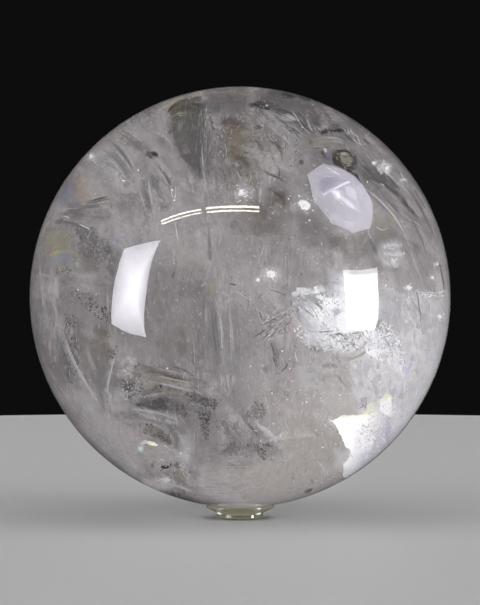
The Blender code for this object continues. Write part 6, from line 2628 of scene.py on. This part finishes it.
def show_streaks(upright, leaning):
    """Soft streaks: upright on the left, in the middle and at both rims, and leaning elsewhere."""
    streaks(upright, "left_pale", LEFT_HALF, 70, 1, (10, 40), (2, 7), (1.1, 1.5))
    streaks(upright, "left_dark", LEFT_HALF, 80, 1, (10, 40), (2, 7), (0.5, 0.85))
    streaks(upright, "top_pale", TOP_FIBRES, 50, 0, (10, 44), (1.5, 5), (1.2, 2.0), (0.04, 0.15), 4.0)
    streaks(upright, "top_dark", TOP_FIBRES, 60, 0, (10, 44), (1.5, 5), (0.25, 0.7), (0.04, 0.15), 4.0)
    streaks(upright, "centre_pale", CENTRE_FIBRES, 50, 2, (10, 44), (1.5, 5), (1.1, 1.5), (0.04, 0.2), 4.0)
    streaks(upright, "centre_dark", CENTRE_FIBRES, 50, 2, (10, 44), (1.5, 5), (0.5, 0.85), (0.04, 0.2), 4.0)
    streaks(upright, "left_rim", LEFT_RIM, 36, 6, (12, 50), (1.5, 5), (1.1, 1.6), (0.04, 0.15), 4.0)
    streaks(upright, "left_rim_dark", LEFT_RIM, 30, 6, (12, 50), (1.5, 5), (0.4, 0.8), (0.04, 0.15), 4.0)
    streaks(upright, "right_rim", RIGHT_RIM, 24, -12, (10, 40), (1.5, 5), (1.1, 1.4), (0.04, 0.15), 8.0)
    streaks(
        upright, "right_rim_dark", RIGHT_RIM, 24, -12, (10, 36), (1.5, 5), (0.5, 0.8), (0.04, 0.15), 8.0,
    )
    streaks(
        leaning, "upper_left_pale", UPPER_LEFT, 60, -38, (10, 40), (2, 6), (1.1, 1.6), (0.04, 0.15), 16.0,
    )
    streaks(
        leaning, "upper_left_dark", UPPER_LEFT, 60, -38, (10, 40), (2, 6), (0.4, 0.8), (0.04, 0.15), 16.0,
    )
    streaks(
        leaning, "upper_right_pale", UPPER_RIGHT, 60, -44, (10, 44), (1.5, 5), (1.2, 1.9), (0.03, 0.1), 9.0,
    )
    streaks(
        leaning, "upper_right_dark", UPPER_RIGHT, 80, -44,
        (10, 44), (1.5, 5), (0.3, 0.75), (0.03, 0.1), 9.0,
    )
    streaks(
        leaning, "low_left_pale", LOWER_LEFT, 36, -70, (8, 34), (1.5, 5), (1.2, 1.7), (0.04, 0.12), 12.0,
    )
    streaks(
        leaning, "low_left_dark", LOWER_LEFT, 40, -70, (8, 32), (1.5, 5), (0.3, 0.8), (0.04, 0.12), 12.0,
    )
    streaks(leaning, "right_pale", LOWER_RIGHT, 30, -35, (8, 30), (2, 6), (1.05, 1.3), (0.04, 0.2), 25.0)
    streaks(leaning, "crumpled", CRUMPLED, 60, -52, (4, 18), (1, 3), (0.6, 1.0), (0.03, 0.06), 22.0)


def show_shreds(sheets):
    """Small torn planes that break up the mist in each region."""
    shreds(sheets, "left", LEFT_HALF, 130, (10, 44), 8, (0.65, 1.35), (0.04, 0.4), 35.0)
    shreds(sheets, "right", RIGHT_HALF, 110, (10, 44), -30, (0.7, 1.3), (0.04, 0.4), 35.0)
    shreds(sheets, "top", TOP_FIBRES, 60, (8, 26), 0, (0.4, 1.6), (0.04, 0.12), 25.0)
    shreds(sheets, "upper_left", UPPER_LEFT, 50, (10, 36), -35, (0.5, 1.5), (0.04, 0.12), 20.0)
    shreds(sheets, "upper_right", UPPER_RIGHT, 70, (8, 32), -44, (0.4, 1.6), (0.03, 0.1), 12.0)
    shreds(sheets, "lower_left", LOWER_LEFT, 70, (8, 26), -62, (0.5, 1.4), (0.04, 0.12), 20.0)
    shreds(sheets, "left_rim", LEFT_RIM, 40, (10, 34), 6, (0.5, 1.5), (0.03, 0.1), 10.0)
    shreds(sheets, "top_middle", TOP_MIDDLE, 70, (5, 15), -30, (0.5, 1.5), (0.03, 0.08), 70.0)
    shreds(sheets, "fallen", FALLEN, 40, (5, 16), -30, (0.75, 1.25), (0.03, 0.08), 70.0)


def show_texture(dark, pale):
    """Fine needles and specks that give each region its grain."""
    needles(pale, "left_pale", LEFT_HALF, 80, 2, (3, 9), (0.4, 0.9), (160, 200), (0.04, 0.3))
    needles(dark, "left_dark", LEFT_HALF, 90, 2, (3, 8), (0.4, 0.9), (76, 110), (0.04, 0.3))
    needles(pale, "right_pale", RIGHT_HALF, 80, -28, (3, 9), (0.4, 0.9), (180, 225), (0.04, 0.3), 40.0)
    needles(dark, "right_dark", RIGHT_HALF, 80, -28, (3, 8), (0.4, 0.9), (80, 116), (0.04, 0.3), 40.0)
    needles(
        dark, "crumpled_cracks", CRUMPLED, 150, -50, (3, 10), (0.5, 1.1), (96, 150), (0.025, 0.04), 30.0,
    )
    needles(dark, "netted_cracks", NETTED, 90, -40, (3, 9), (0.5, 1.0), (110, 150), (0.025, 0.04), 45.0)
    needles(pale, "wedge_pale", WEDGE, 90, 2, (4, 22), (0.4, 1.0), (124, 160), (0.03, 0.06), 4.0)
    needles(dark, "wedge_dark", WEDGE, 90, 2, (4, 18), (0.5, 1.2), (56, 84), (0.03, 0.06), 4.0)
    needles(pale, "beside_wedge", BESIDE_WEDGE, 70, 2, (3, 14), (0.4, 1.1), (150, 196), (0.03, 0.06), 5.0)
    needles(
        dark, "beside_wedge_dark", BESIDE_WEDGE, 90, 3, (3, 12), (0.5, 1.2), (70, 100), (0.03, 0.06), 12.0,
    )
    specks(dark, "left_dust", LEFT_HALF, 240, (0.5, 1.6), (70, 106), (0.04, 0.3))
    specks(pale, "left_motes", LEFT_HALF, 90, (0.5, 1.2), (166, 200), (0.04, 0.3))
    specks(dark, "right_dust", RIGHT_HALF, 200, (0.5, 1.6), (80, 116), (0.04, 0.3))
    specks(pale, "right_motes", RIGHT_HALF, 110, (0.5, 1.2), (186, 220), (0.04, 0.3))
    needles(pale, "flakes", LOWER_RIGHT, 200, -50, (1.2, 5), (0.7, 1.8), (190, 232), (0.03, 0.12), 40.0)
    specks(dark, "speckled", SPECKLED, 200, (1.2, 2.4), (80, 102), (0.035, 0.06))
    specks(pale, "speckled_pale", SPECKLED, 180, (1.0, 2.0), (132, 166), (0.03, 0.06))
    specks(dark, "left_fine", LEFT_HALF, 500, (1.1, 2.2), (84, 116), (0.03, 0.2))
    needles(pale, "left_fine_pale", LEFT_HALF, 700, 4, (1.5, 5), (0.7, 1.6), (160, 190), (0.03, 0.2), 34.0)
    needles(dark, "left_fine_dark", LEFT_HALF, 500, 4, (1.5, 5), (0.7, 1.7), (84, 114), (0.03, 0.2), 34.0)
    specks(dark, "right_fine", RIGHT_HALF, 450, (1.1, 2.2), (92, 122), (0.03, 0.2))
    needles(
        pale, "right_fine_pale", RIGHT_HALF, 800, -30, (1.5, 5), (0.7, 1.6), (172, 206), (0.03, 0.2), 50.0,
    )
    needles(
        dark, "right_fine_dark", RIGHT_HALF, 500, -30, (1.5, 5), (0.7, 1.7), (92, 122), (0.03, 0.2), 50.0,
    )
    specks(dark, "tree_top", TREE_TOP, 90, (1.4, 2.8), (60, 92), (0.03, 0.05))
    specks(dark, "tree_trunk", TREE_TRUNK, 90, (1.4, 2.8), (60, 92), (0.03, 0.05))
    specks(dark, "tree_low", TREE_LOW, 60, (1.3, 2.6), (64, 96), (0.03, 0.05))
    specks(dark, "tree_cluster", TREE_CLUSTER, 70, (1.3, 2.6), (64, 96), (0.03, 0.05))
    specks(dark, "tree_wing", TREE_WING, 60, (1.2, 2.4), (80, 108), (0.03, 0.05))
    specks(dark, "stitched", STITCHED, 100, (1.1, 2.4), (70, 104), (0.03, 0.05))
    specks(pale, "stitched_pale", STITCHED, 80, (1.1, 2.2), (176, 214), (0.03, 0.05))
    needles(dark, "creases", CREASES, 60, -60, (2, 9), (0.4, 1.1), (78, 110), (0.03, 0.05), 40.0)
    needles(pale, "creases_pale", CREASES, 70, -60, (2, 11), (0.4, 1.1), (166, 206), (0.03, 0.05), 35.0)
    specks(dark, "creases_dust", CREASES, 80, (1.1, 2.4), (64, 100), (0.03, 0.05))
    needles(pale, "netted_pale", NETTED, 170, -40, (2, 7), (0.9, 2.0), (234, 255), (0.025, 0.045), 60.0)
    needles(pale, "falling", FALLING, 80, 0, (4, 13), (0.8, 1.8), (236, 255), (0.025, 0.04), 14.0)
    needles(pale, "side_shelf", SIDE_SHELF, 60, 85, (2, 8), (0.8, 1.8), (206, 245), (0.025, 0.04), 25.0)
    needles(pale, "by_plane", BY_PLANE, 60, 0, (2, 8), (0.8, 1.8), (226, 250), (0.025, 0.04), 20.0)
    specks(dark, "dark_top", DARK_TOP, 40, (1.0, 2.2), (44, 66), (0.03, 0.04))
    needles(pale, "dark_top_pale", DARK_TOP, 16, 60, (1.2, 4), (0.6, 1.2), (140, 180), (0.03, 0.04), 30.0)
    specks(dark, "netted_dark", NETTED, 150, (1.1, 2.2), (116, 160), (0.025, 0.04))
    specks(dark, "band", SPECK_BAND, 130, (1.3, 2.8), (52, 82), (0.022, 0.03))
    specks(pale, "band_pale", SPECK_BAND, 30, (1.0, 1.8), (140, 164), (0.022, 0.03))
    specks(dark, "low_band", LOW_BAND, 70, (1.2, 2.6), (60, 90), (0.022, 0.03))
    for name, outline in CLUSTERS.items():
        specks(dark, name, outline, 34, (1.2, 2.8), (50, 82), (0.022, 0.03))
    needles(dark, "top_middle_dark", TOP_MIDDLE, 110, 30, (2, 8), (0.6, 1.7), (66, 98), (0.022, 0.04), 70.0)
    needles(
        pale, "top_middle_pale", TOP_MIDDLE, 110, -40, (2, 9), (0.6, 1.6), (146, 180), (0.022, 0.04), 60.0,
    )
    specks(pale, "ledge_flakes", LEDGE_FLAKES, 40, (1.0, 2.0), (206, 240), (0.022, 0.035))
    needles(pale, "fallen_pale", FALLEN, 30, -50, (1.2, 4), (0.6, 1.4), (190, 216), (0.022, 0.035), 50.0)
    needles(
        dark, "white_marks", WHITE_SPECKLE, 120, 10, (1.5, 6), (0.8, 1.9), (186, 216), (0.022, 0.035), 50.0,
    )
    needles(
        pale, "white_marks_pale", WHITE_SPECKLE, 120, 10,
        (1.5, 6), (0.8, 1.9), (250, 255), (0.022, 0.035), 50.0,
    )
    needles(pale, "low_band_pale", LOW_BAND, 60, 14, (2, 9), (0.5, 1.2), (150, 184), (0.03, 0.05), 14.0)
    needles(pale, "shard", SHARD, 34, -42, (2, 8), (0.7, 1.7), (196, 240), (0.03, 0.04), 14.0)
    needles(pale, "fuzz", FUZZ, 70, -20, (1.5, 6), (0.6, 1.4), (196, 246), (0.03, 0.04), 60.0)
    needles(pale, "foot_pale", CRUSH_FOOT, 190, -60, (2, 7), (0.9, 2.0), (226, 255), (0.025, 0.045), 50.0)
    specks(dark, "foot_dark", CRUSH_FOOT, 110, (1.0, 2.4), (96, 156), (0.022, 0.035))
    needles(dark, "foot_streaks", CRUSH_FOOT, 60, -40, (2, 8), (0.8, 2.0), (140, 190), (0.022, 0.035), 50.0)
    needles(dark, "lead", LEAD, 46, 50, (3, 11), (0.7, 1.4), (84, 112), (0.03, 0.05), 16.0)
    needles(pale, "lead_pale", LEAD, 56, 50, (3, 11), (0.7, 1.5), (172, 206), (0.03, 0.05), 18.0)
    specks(dark, "dome", DOME, 40, (1.2, 2.4), (60, 92), (0.03, 0.04))
    needles(dark, "foot_cracks", CRUSH_FOOT, 60, -80, (2, 8), (0.5, 1.0), (100, 150), (0.025, 0.04), 40.0)
    specks(dark, "crumpled_dark", CRUMPLED, 120, (1.0, 2.2), (112, 172), (0.022, 0.035))
    needles(
        dark, "crumpled_streaks", CRUMPLED, 150, -50, (2, 8), (0.8, 2.0), (150, 196), (0.022, 0.035), 40.0,
    )
    specks(pale, "crumpled_pale", CRUMPLED, 300, (1.1, 2.8), (232, 255), (0.025, 0.045))
    specks(dark, "white_specks", WHITE_SPECKLE, 90, (0.8, 2.2), (170, 206), (0.025, 0.04))
    specks(dark, "plane_specks", PLANE_SPECKLE, 40, (0.7, 1.4), (140, 190), (0.025, 0.04))
    specks(dark, "purple", PURPLE_PATCH, 36, (1.0, 2.2), (110, 150), (0.025, 0.034))
    specks(pale, "purple_pale", PURPLE_PATCH, 30, (1.0, 2.0), (200, 235), (0.025, 0.034))
    specks(pale, "chunky", CHUNKY_EDGE, 60, (1.0, 2.6), (206, 250), (0.025, 0.04))
    specks(dark, "chunky_dark", CHUNKY_EDGE, 40, (0.8, 1.8), (140, 176), (0.025, 0.04))


def random_direction(chance):
    """A random direction, none likelier than another."""
    return Vector([chance.gauss(0, 1) for _ in range(3)]).normalized()


def fill_mist(sheets, count, seed, dense):
    """Large mists that lie every way through the stone."""
    chance = random.Random(seed)
    for number in range(count):
        normal = random_direction(chance)
        normal.z *= 0.5
        centre = CENTRE + random_direction(chance) * RADIUS * 0.8 * chance.random() ** 0.5
        wide = chance.uniform(26, 48) * MM
        tall = chance.uniform(26, 52) * MM
        sheets.sheet(centre, normal, wide, tall, chance.uniform(-7, 7) * MM, dense, seed + number)


def fill_small(sheets, count, seed, dense, gains, sizes, front=-0.35):
    """Small sheets strewn below the skin, brighter or darker than the mist about them.

    Front is the least cosine between a sheet's outward direction and the camera's view. It
    keeps the stone's front free, as the tables above fill that.
    """
    chance = random.Random(seed)
    for number in range(count):
        outward = random_direction(chance)
        centre = CENTRE + outward * RADIUS * chance.uniform(0.5, 0.94)
        normal = outward + random_direction(chance) * 0.7
        if outward.dot(CAMERA_FORWARD) < front:
            continue
        wide = chance.uniform(*sizes) * MM
        tall = wide * chance.uniform(0.8, 2.4)
        tint = glow(centre) * chance.uniform(*gains)
        bend = chance.uniform(-1.5, 0.5) * MM
        sheets.sheet(centre, normal, wide, tall, bend, dense, seed + number, tint, 14, 0.6 * MM)


def fill_strips(sheets, count, seed):
    """Soft upright streaks all through the stone."""
    chance = random.Random(seed)
    for _ in range(count):
        outward = random_direction(chance)
        middle = CENTRE + outward * RADIUS * 0.92 * chance.random() ** 0.35
        along = Vector((chance.gauss(0, 0.2), chance.gauss(0, 0.2), 1.0)).normalized()
        along *= chance.uniform(1.5, 6.5) * MM
        across = along.cross(outward + random_direction(chance) * 0.6).normalized()
        tint = glow(middle) * chance.choice([chance.uniform(0.4, 0.85), chance.uniform(1.1, 1.6)])
        width = chance.uniform(0.3, 1.4) * MM
        dense = chance.uniform(0.2, 0.6)
        sheets.strip(middle - along, middle + along, across, width, tint, dense, width * 0.5)


def fill_needles(grains, count, seed, gains):
    """Upright needles all through the stone, so that it has grain from every side."""
    chance = random.Random(seed)
    for _ in range(count):
        place = CENTRE + random_direction(chance) * RADIUS * 0.93 * chance.random() ** 0.4
        along = Vector((chance.gauss(0, 0.16), chance.gauss(0, 0.16), 1.0)).normalized()
        along *= chance.uniform(0.8, 3.6) * MM
        if (abs(place.z - CENTRE.z) + along.length) > RADIUS * SKIN:
            continue
        if max((place + along - CENTRE).length, (place - along - CENTRE).length) > RADIUS * SKIN:
            continue
        width = chance.uniform(0.07, 0.20) * MM
        tint = glow(place) * chance.uniform(*gains)
        grains.splinter(place - along, place + along, width, tint)


# The set


def glow_material(name, colour):
    """A lit panel whose mesh says how bright it is from place to place."""
    material, shader, output = new_material(name)
    material.node_tree.nodes.remove(shader)
    level = add(material, "ShaderNodeAttribute")
    level.attribute_name = "level"
    light = add(material, "ShaderNodeEmission", Color=(*colour, 1.0))
    link(material, level.outputs["Fac"], light.inputs["Strength"])
    link(material, light.outputs[0], output.inputs["Surface"])
    material.cycles.emission_sampling = "NONE"
    return material


def softbox(name, colour, levels, middle, middle_level, distance, corners):
    """A lit panel that the stone mirrors with its corners at these pixels.

    With a middle it is made of wedges from there to its sides. Levels are what the wedges show
    at the rim, one by one, or one number for all.
    """
    rays = [mirrored(*corner) for corner in corners]
    aim = sum((way for met, way in rays), Vector()).normalized()
    anchor = CENTRE + aim * distance
    rim = [met + way * ((anchor - met).dot(aim) / way.dot(aim)) for met, way in rays]
    if isinstance(levels, float):
        levels = [levels] * len(rim)
    if middle is None:
        points = rim
        faces = [list(range(len(rim)))]
        strengths = levels
    else:
        met, way = mirrored(*middle)
        hub = met + way * ((anchor - met).dot(aim) / way.dot(aim))
        points = []
        faces = []
        strengths = []
        for i, level in enumerate(levels):
            faces.append([len(points), len(points) + 1, len(points) + 2])
            points += [hub, rim[i], rim[(i + 1) % len(rim)]]
            strengths += [middle_level, level, level]
    mesh = bpy.data.meshes.new(name)
    mesh.from_pydata([tuple(p) for p in points], [], faces)
    layer = mesh.attributes.new("level", "FLOAT", "POINT")
    layer.data.foreach_set("value", strengths)
    mesh.materials.append(glow_material(name, colour))
    panel = bpy.data.objects.new(name, mesh)
    bpy.context.scene.collection.objects.link(panel)
    panel.visible_camera = False
    panel.visible_diffuse = False
    panel.visible_transmission = False
    panel.visible_shadow = False


LAVENDER = (0.81, 0.79, 1.0)
TUBE_LIGHT = (1.0, 0.98, 0.84)

# Panels that the stone mirrors: colour, levels at the rim, the middle's pixel and level,
# distance from the stone's middle in metres, corners
PANELS = {
    "left_panel": (
        (0.92, 0.90, 1.0), 7.8, (135, 290), 22.0, 0.9,
        [(124, 249), (142, 244), (160.5, 240), (152, 261), (147, 290), (144, 318), (146, 337), (128, 333),
         (111.5, 324), (112, 300), (117.5, 270)],
    ),
    "right_panel": (
        (1.0, 1.0, 1.0),
        [8.5, 9.0, 9.5, 9.0, 9.0, 15.0, 18.0, 18.0, 18.0, 18.0, 18.0, 15.0, 12.0, 10.0],
        (362, 300), 34.0, 0.9,
        [(342.8, 270), (350, 270.8), (358, 270.4), (368, 269), (377.2, 267.5), (378.3, 285), (378.2, 302),
         (378, 319), (374, 330), (360, 330), (346.5, 329), (346, 316), (345, 300), (344.6, 285)],
    ),
    "right_panel_top": (
        (0.97, 0.96, 1.0), 7.6, None, 0.0, 0.9,
        [(342.8, 270), (360, 270.2), (377.2, 267.5), (377.6, 272.5), (360, 274.6), (343.2, 274.2)],
    ),
    "eight_sided_panel": (
        LAVENDER, [4.5, 5.3, 4.2, 4.3, 5.0, 4.6, 5.4, 4.5, 3.6, 3.9], (337, 196), 5.3, 0.9,
        [(323.5, 163.5), (307, 175), (313.5, 201), (331, 223), (353, 233), (370.5, 228.5), (372.7, 203),
         (362, 184), (352.5, 175), (340, 168.3)],
    ),
    "panel_fold_lit": (
        LAVENDER, 5.5, (340, 197), 16.0, 0.88,
        [(328, 187), (340, 189), (352, 199), (356, 206), (344, 206), (333, 198)],
    ),
    "panel_fold_line": (
        LAVENDER, 8.4, None, 0.0, 0.87,
        [(322, 194), (349, 180.5), (350, 183.5), (324, 196)],
    ),
    "panel_fold_shaded": (
        LAVENDER, 4.9, (327, 184), 3.1, 0.86,
        [(319, 172), (328, 169), (338, 172), (343, 180), (334, 187), (321, 193), (315, 184)],
    ),
    "panel_fold_long": (
        LAVENDER, 5.2, (351, 205), 8.4, 0.875,
        [(336, 191), (349, 196), (362, 207), (364, 215), (352, 211), (340, 201)],
    ),
    "panel_fold_foot": (
        LAVENDER, 4.5, (352, 223), 6.0, 0.85,
        [(334, 217), (346, 220), (362, 217), (368, 222), (362, 227), (346, 226)],
    ),
    "tube_0": (
        TUBE_LIGHT, 18.0, None, 0.0, 0.9,
        [(160, 220.6), (180, 213.3), (201, 208.7), (201, 210.4), (180, 215.0), (161, 222.0)],
    ),
    "tube_1": (
        TUBE_LIGHT, 18.0, None, 0.0, 0.9,
        [(162, 223.4), (181, 216.8), (202, 212.2), (201, 213.6), (181, 218.1), (163, 224.6)],
    ),
    "tube_2": (
        TUBE_LIGHT, 18.0, None, 0.0, 0.9,
        [(205.5, 207.7), (232, 205.4), (259.5, 206.5), (259.5, 208.9), (232, 207.9), (206, 209.6)],
    ),
    "tube_3": (
        TUBE_LIGHT, 18.0, None, 0.0, 0.9,
        [(206.5, 211.6), (232, 209.9), (259.5, 210.7), (259.5, 212.4), (232, 211.6), (207, 213.1)],
    ),
}

# Lamps for the floor and the stand: azimuth and elevation in degrees, strength
LAMPS = {"key": (60.0, 40.0, 1.2), "fill": (-60.0, 35.0, 0.8), "top": (0.0, 85.0, 0.8)}
LAMP_WIDTH = math.radians(50.0)


def soft_light(name, azimuth, elevation, strength):
    """A far, wide lamp. Azimuth 0 is behind the camera and 90 to its right, in degrees."""
    data = bpy.data.lights.new(name, "SUN")
    data.energy = strength
    data.angle = LAMP_WIDTH
    data.cycles.use_multiple_importance_sampling = False
    turn = math.radians(azimuth)
    rise = math.radians(elevation)
    level = math.cos(rise)
    towards = Vector((math.sin(turn) * level, -math.cos(turn) * level, math.sin(rise)))
    lamp = bpy.data.objects.new(name, data)
    lamp.matrix_world = towards.to_track_quat("Z", "Y").to_matrix().to_4x4()
    bpy.context.scene.collection.objects.link(lamp)


def make_lights():
    """The lamps, and the panels that the stone mirrors."""
    for name, row in LAMPS.items():
        soft_light(name, *row)
    for name, row in PANELS.items():
        softbox(name, *row)


# The floor
FLOOR_RADIUS = 0.4
FLOOR_DROP = 0.0002  # how far the floor lies below the ring's foot
FLOOR_TONE = 0.62


def make_floor():
    """A plain pale floor, hidden from rays that pass through the stone or mirror in it."""
    bpy.ops.mesh.primitive_circle_add(
        vertices=128, radius=FLOOR_RADIUS, fill_type="NGON", location=(0, 0, -FLOOR_DROP)
    )
    floor = bpy.context.object
    floor.name = "floor"
    material, shader, _ = new_material("pale_floor")
    shader.inputs["Base Color"].default_value = (FLOOR_TONE, FLOOR_TONE, FLOOR_TONE, 1.0)
    shader.inputs["Roughness"].default_value = 0.6
    floor.data.materials.append(material)
    floor.visible_shadow = False
    floor.visible_glossy = False
    floor.visible_transmission = False


SURROUND = 0.004


def make_world():
    """A dim, even surround, which is what shows through the clearest parts of the stone."""
    world = bpy.data.worlds.new("studio")
    world.use_nodes = True
    bpy.context.scene.world = world
    background = world.node_tree.nodes["Background"]
    background.inputs["Color"].default_value = (SURROUND, SURROUND, SURROUND, 1.0)
    background.inputs["Strength"].default_value = 1.0


def set_render():
    """How colours are shown, and how far light is followed."""
    scene = bpy.context.scene
    scene.view_settings.view_transform = "Standard"
    scene.cycles.max_bounces = 12
    scene.cycles.diffuse_bounces = 1
    scene.cycles.glossy_bounces = 4
    scene.cycles.transmission_bounces = 10
    scene.cycles.transparent_max_bounces = 96
    scene.cycles.caustics_reflective = False
    scene.cycles.caustics_refractive = False


# The ring's two painted highlights, glowing spots: where they lie from its axis, their height, half length
# and radius
RING_HIGHLIGHTS = [(-5.6 * MM, -3.4 * MM), (5.0 * MM, -4.3 * MM)]
RING_HIGHLIGHT_HEIGHT = 1.45 * MM
RING_HIGHLIGHT_REACH = 1.1 * MM
RING_HIGHLIGHT_RADIUS = 0.46 * MM
RING_HIGHLIGHT_SIDES = 8


def finish_ring():
    """The ring's own plastic, and two painted highlights: glowing spots in its foot where lamps shine
    through it.
    """
    bpy.data.objects["ring_stand"].material_slots[0].material = ring_material()
    points = []
    faces = []
    for x, y in RING_HIGHLIGHTS:
        first = len(points)
        middle = Vector((x, y, RING_HIGHLIGHT_HEIGHT))
        for end in (-1.0, 1.0):
            points.append(middle + Vector((end * RING_HIGHLIGHT_REACH, 0.0, 0.0)))
        for i in range(RING_HIGHLIGHT_SIDES):
            turn = 2.0 * math.pi * i / RING_HIGHLIGHT_SIDES
            across = Vector((0.0, math.cos(turn), math.sin(turn))) * RING_HIGHLIGHT_RADIUS
            points.append(middle + across)
        for i in range(RING_HIGHLIGHT_SIDES):
            here = first + 2 + i
            after = first + 2 + (i + 1) % RING_HIGHLIGHT_SIDES
            faces += [[first, here, after], [first + 1, after, here]]
    tints = np.tile((*shade(250, 248, 255), 1.0), (len(points), 1))
    material = mineral_material("ring_highlight_glow", False)
    new_piece("ring_glints", np.array(points), faces, material, tints)


def make_inclusions():
    """Everything inside the stone, gathered in a few joined meshes."""
    mists = Sheets()
    fill_mist(mists, count=24, seed=11, dense=0.40)
    mists.finish("mists", mist_material())
    hazes = Sheets()
    show(hazes, HAZES, 3.0)
    show_strands(hazes)
    hazes.finish("hazes", haze_material())
    wisps = Sheets()
    fill_small(wisps, count=120, seed=611, dense=0.45, gains=(0.6, 1.45), sizes=(3.0, 12.0))
    show(wisps, WISPS)
    show_shreds(wisps)
    wisps.finish("wisps", wisp_material())
    grained = Sheets()
    fill_small(grained, count=50, seed=811, dense=0.7, gains=(0.35, 0.8), sizes=(1.5, 6.0))
    show(grained, GRAINED)
    grained.finish("grained_veils", speckle_material())
    fibres = Sheets()
    leaning = Sheets()
    sloping = Sheets()
    fill_small(fibres, count=60, seed=211, dense=0.45, gains=(0.6, 1.5), sizes=(4.0, 11.0))
    fill_small(leaning, count=60, seed=311, dense=0.5, gains=(0.5, 1.5), sizes=(3.0, 10.0))
    fill_strips(fibres, count=260, seed=71)
    show(fibres, FIBRES)
    fill_small(sloping, count=40, seed=351, dense=0.5, gains=(0.5, 1.5), sizes=(3.0, 9.0))
    show(leaning, LEANING)
    show(sloping, SLOPING)
    show_streaks(fibres, leaning)
    fibres.finish("fibre_veils", fibre_material())
    leaning.finish("leaning_veils", fibre_material("leaning_fibres", -40.0))
    sloping.finish("sloping_veils", fibre_material("sloping_fibres", -76.0))
    fractures = Sheets()
    fill_small(fractures, count=70, seed=401, dense=0.6, gains=(0.9, 2.0), sizes=(2.0, 7.0), front=0.1)
    show(fractures, FRACTURES)
    fractures.finish("fractures", fracture_material())
    crushed = Sheets()
    fill_small(crushed, count=14, seed=501, dense=0.8, gains=(1.4, 2.4), sizes=(3.0, 9.0), front=0.1)
    show(crushed, CRUSHED)
    crushed.finish("crushed_zones", facet_material())
    planes = Sheets()
    dark = Grains()
    pale = Grains()
    glints = Grains()
    fill_small(planes, count=16, seed=901, dense=0.8, gains=(1.4, 2.6), sizes=(1.0, 4.0), front=0.1)
    show(planes, PLANES)
    show_flashes(planes, glints)
    planes.finish("planes", plane_material())
    show_lines(dark, DARK_LINES, 0.03)
    show_lines(pale, PALE_LINES, 0.035)
    show_points(dark, glints)
    show_texture(dark, pale)
    fill_needles(pale, count=300, seed=7, gains=(1.2, 1.9))
    fill_needles(dark, count=400, seed=8, gains=(0.35, 0.75))
    dark.finish("dark_inclusions", mineral_material("dark_mineral"))
    pale.finish("pale_inclusions", mineral_material("pale_mineral"))
    # glints: painted glints and flecks, white grains that glow
    glints.finish("glints", mineral_material("bright_mineral", False))


make_camera()
make_floor()
make_world()
make_lights()
set_render()
fine_sphere()
finish_ring()
make_inclusions()
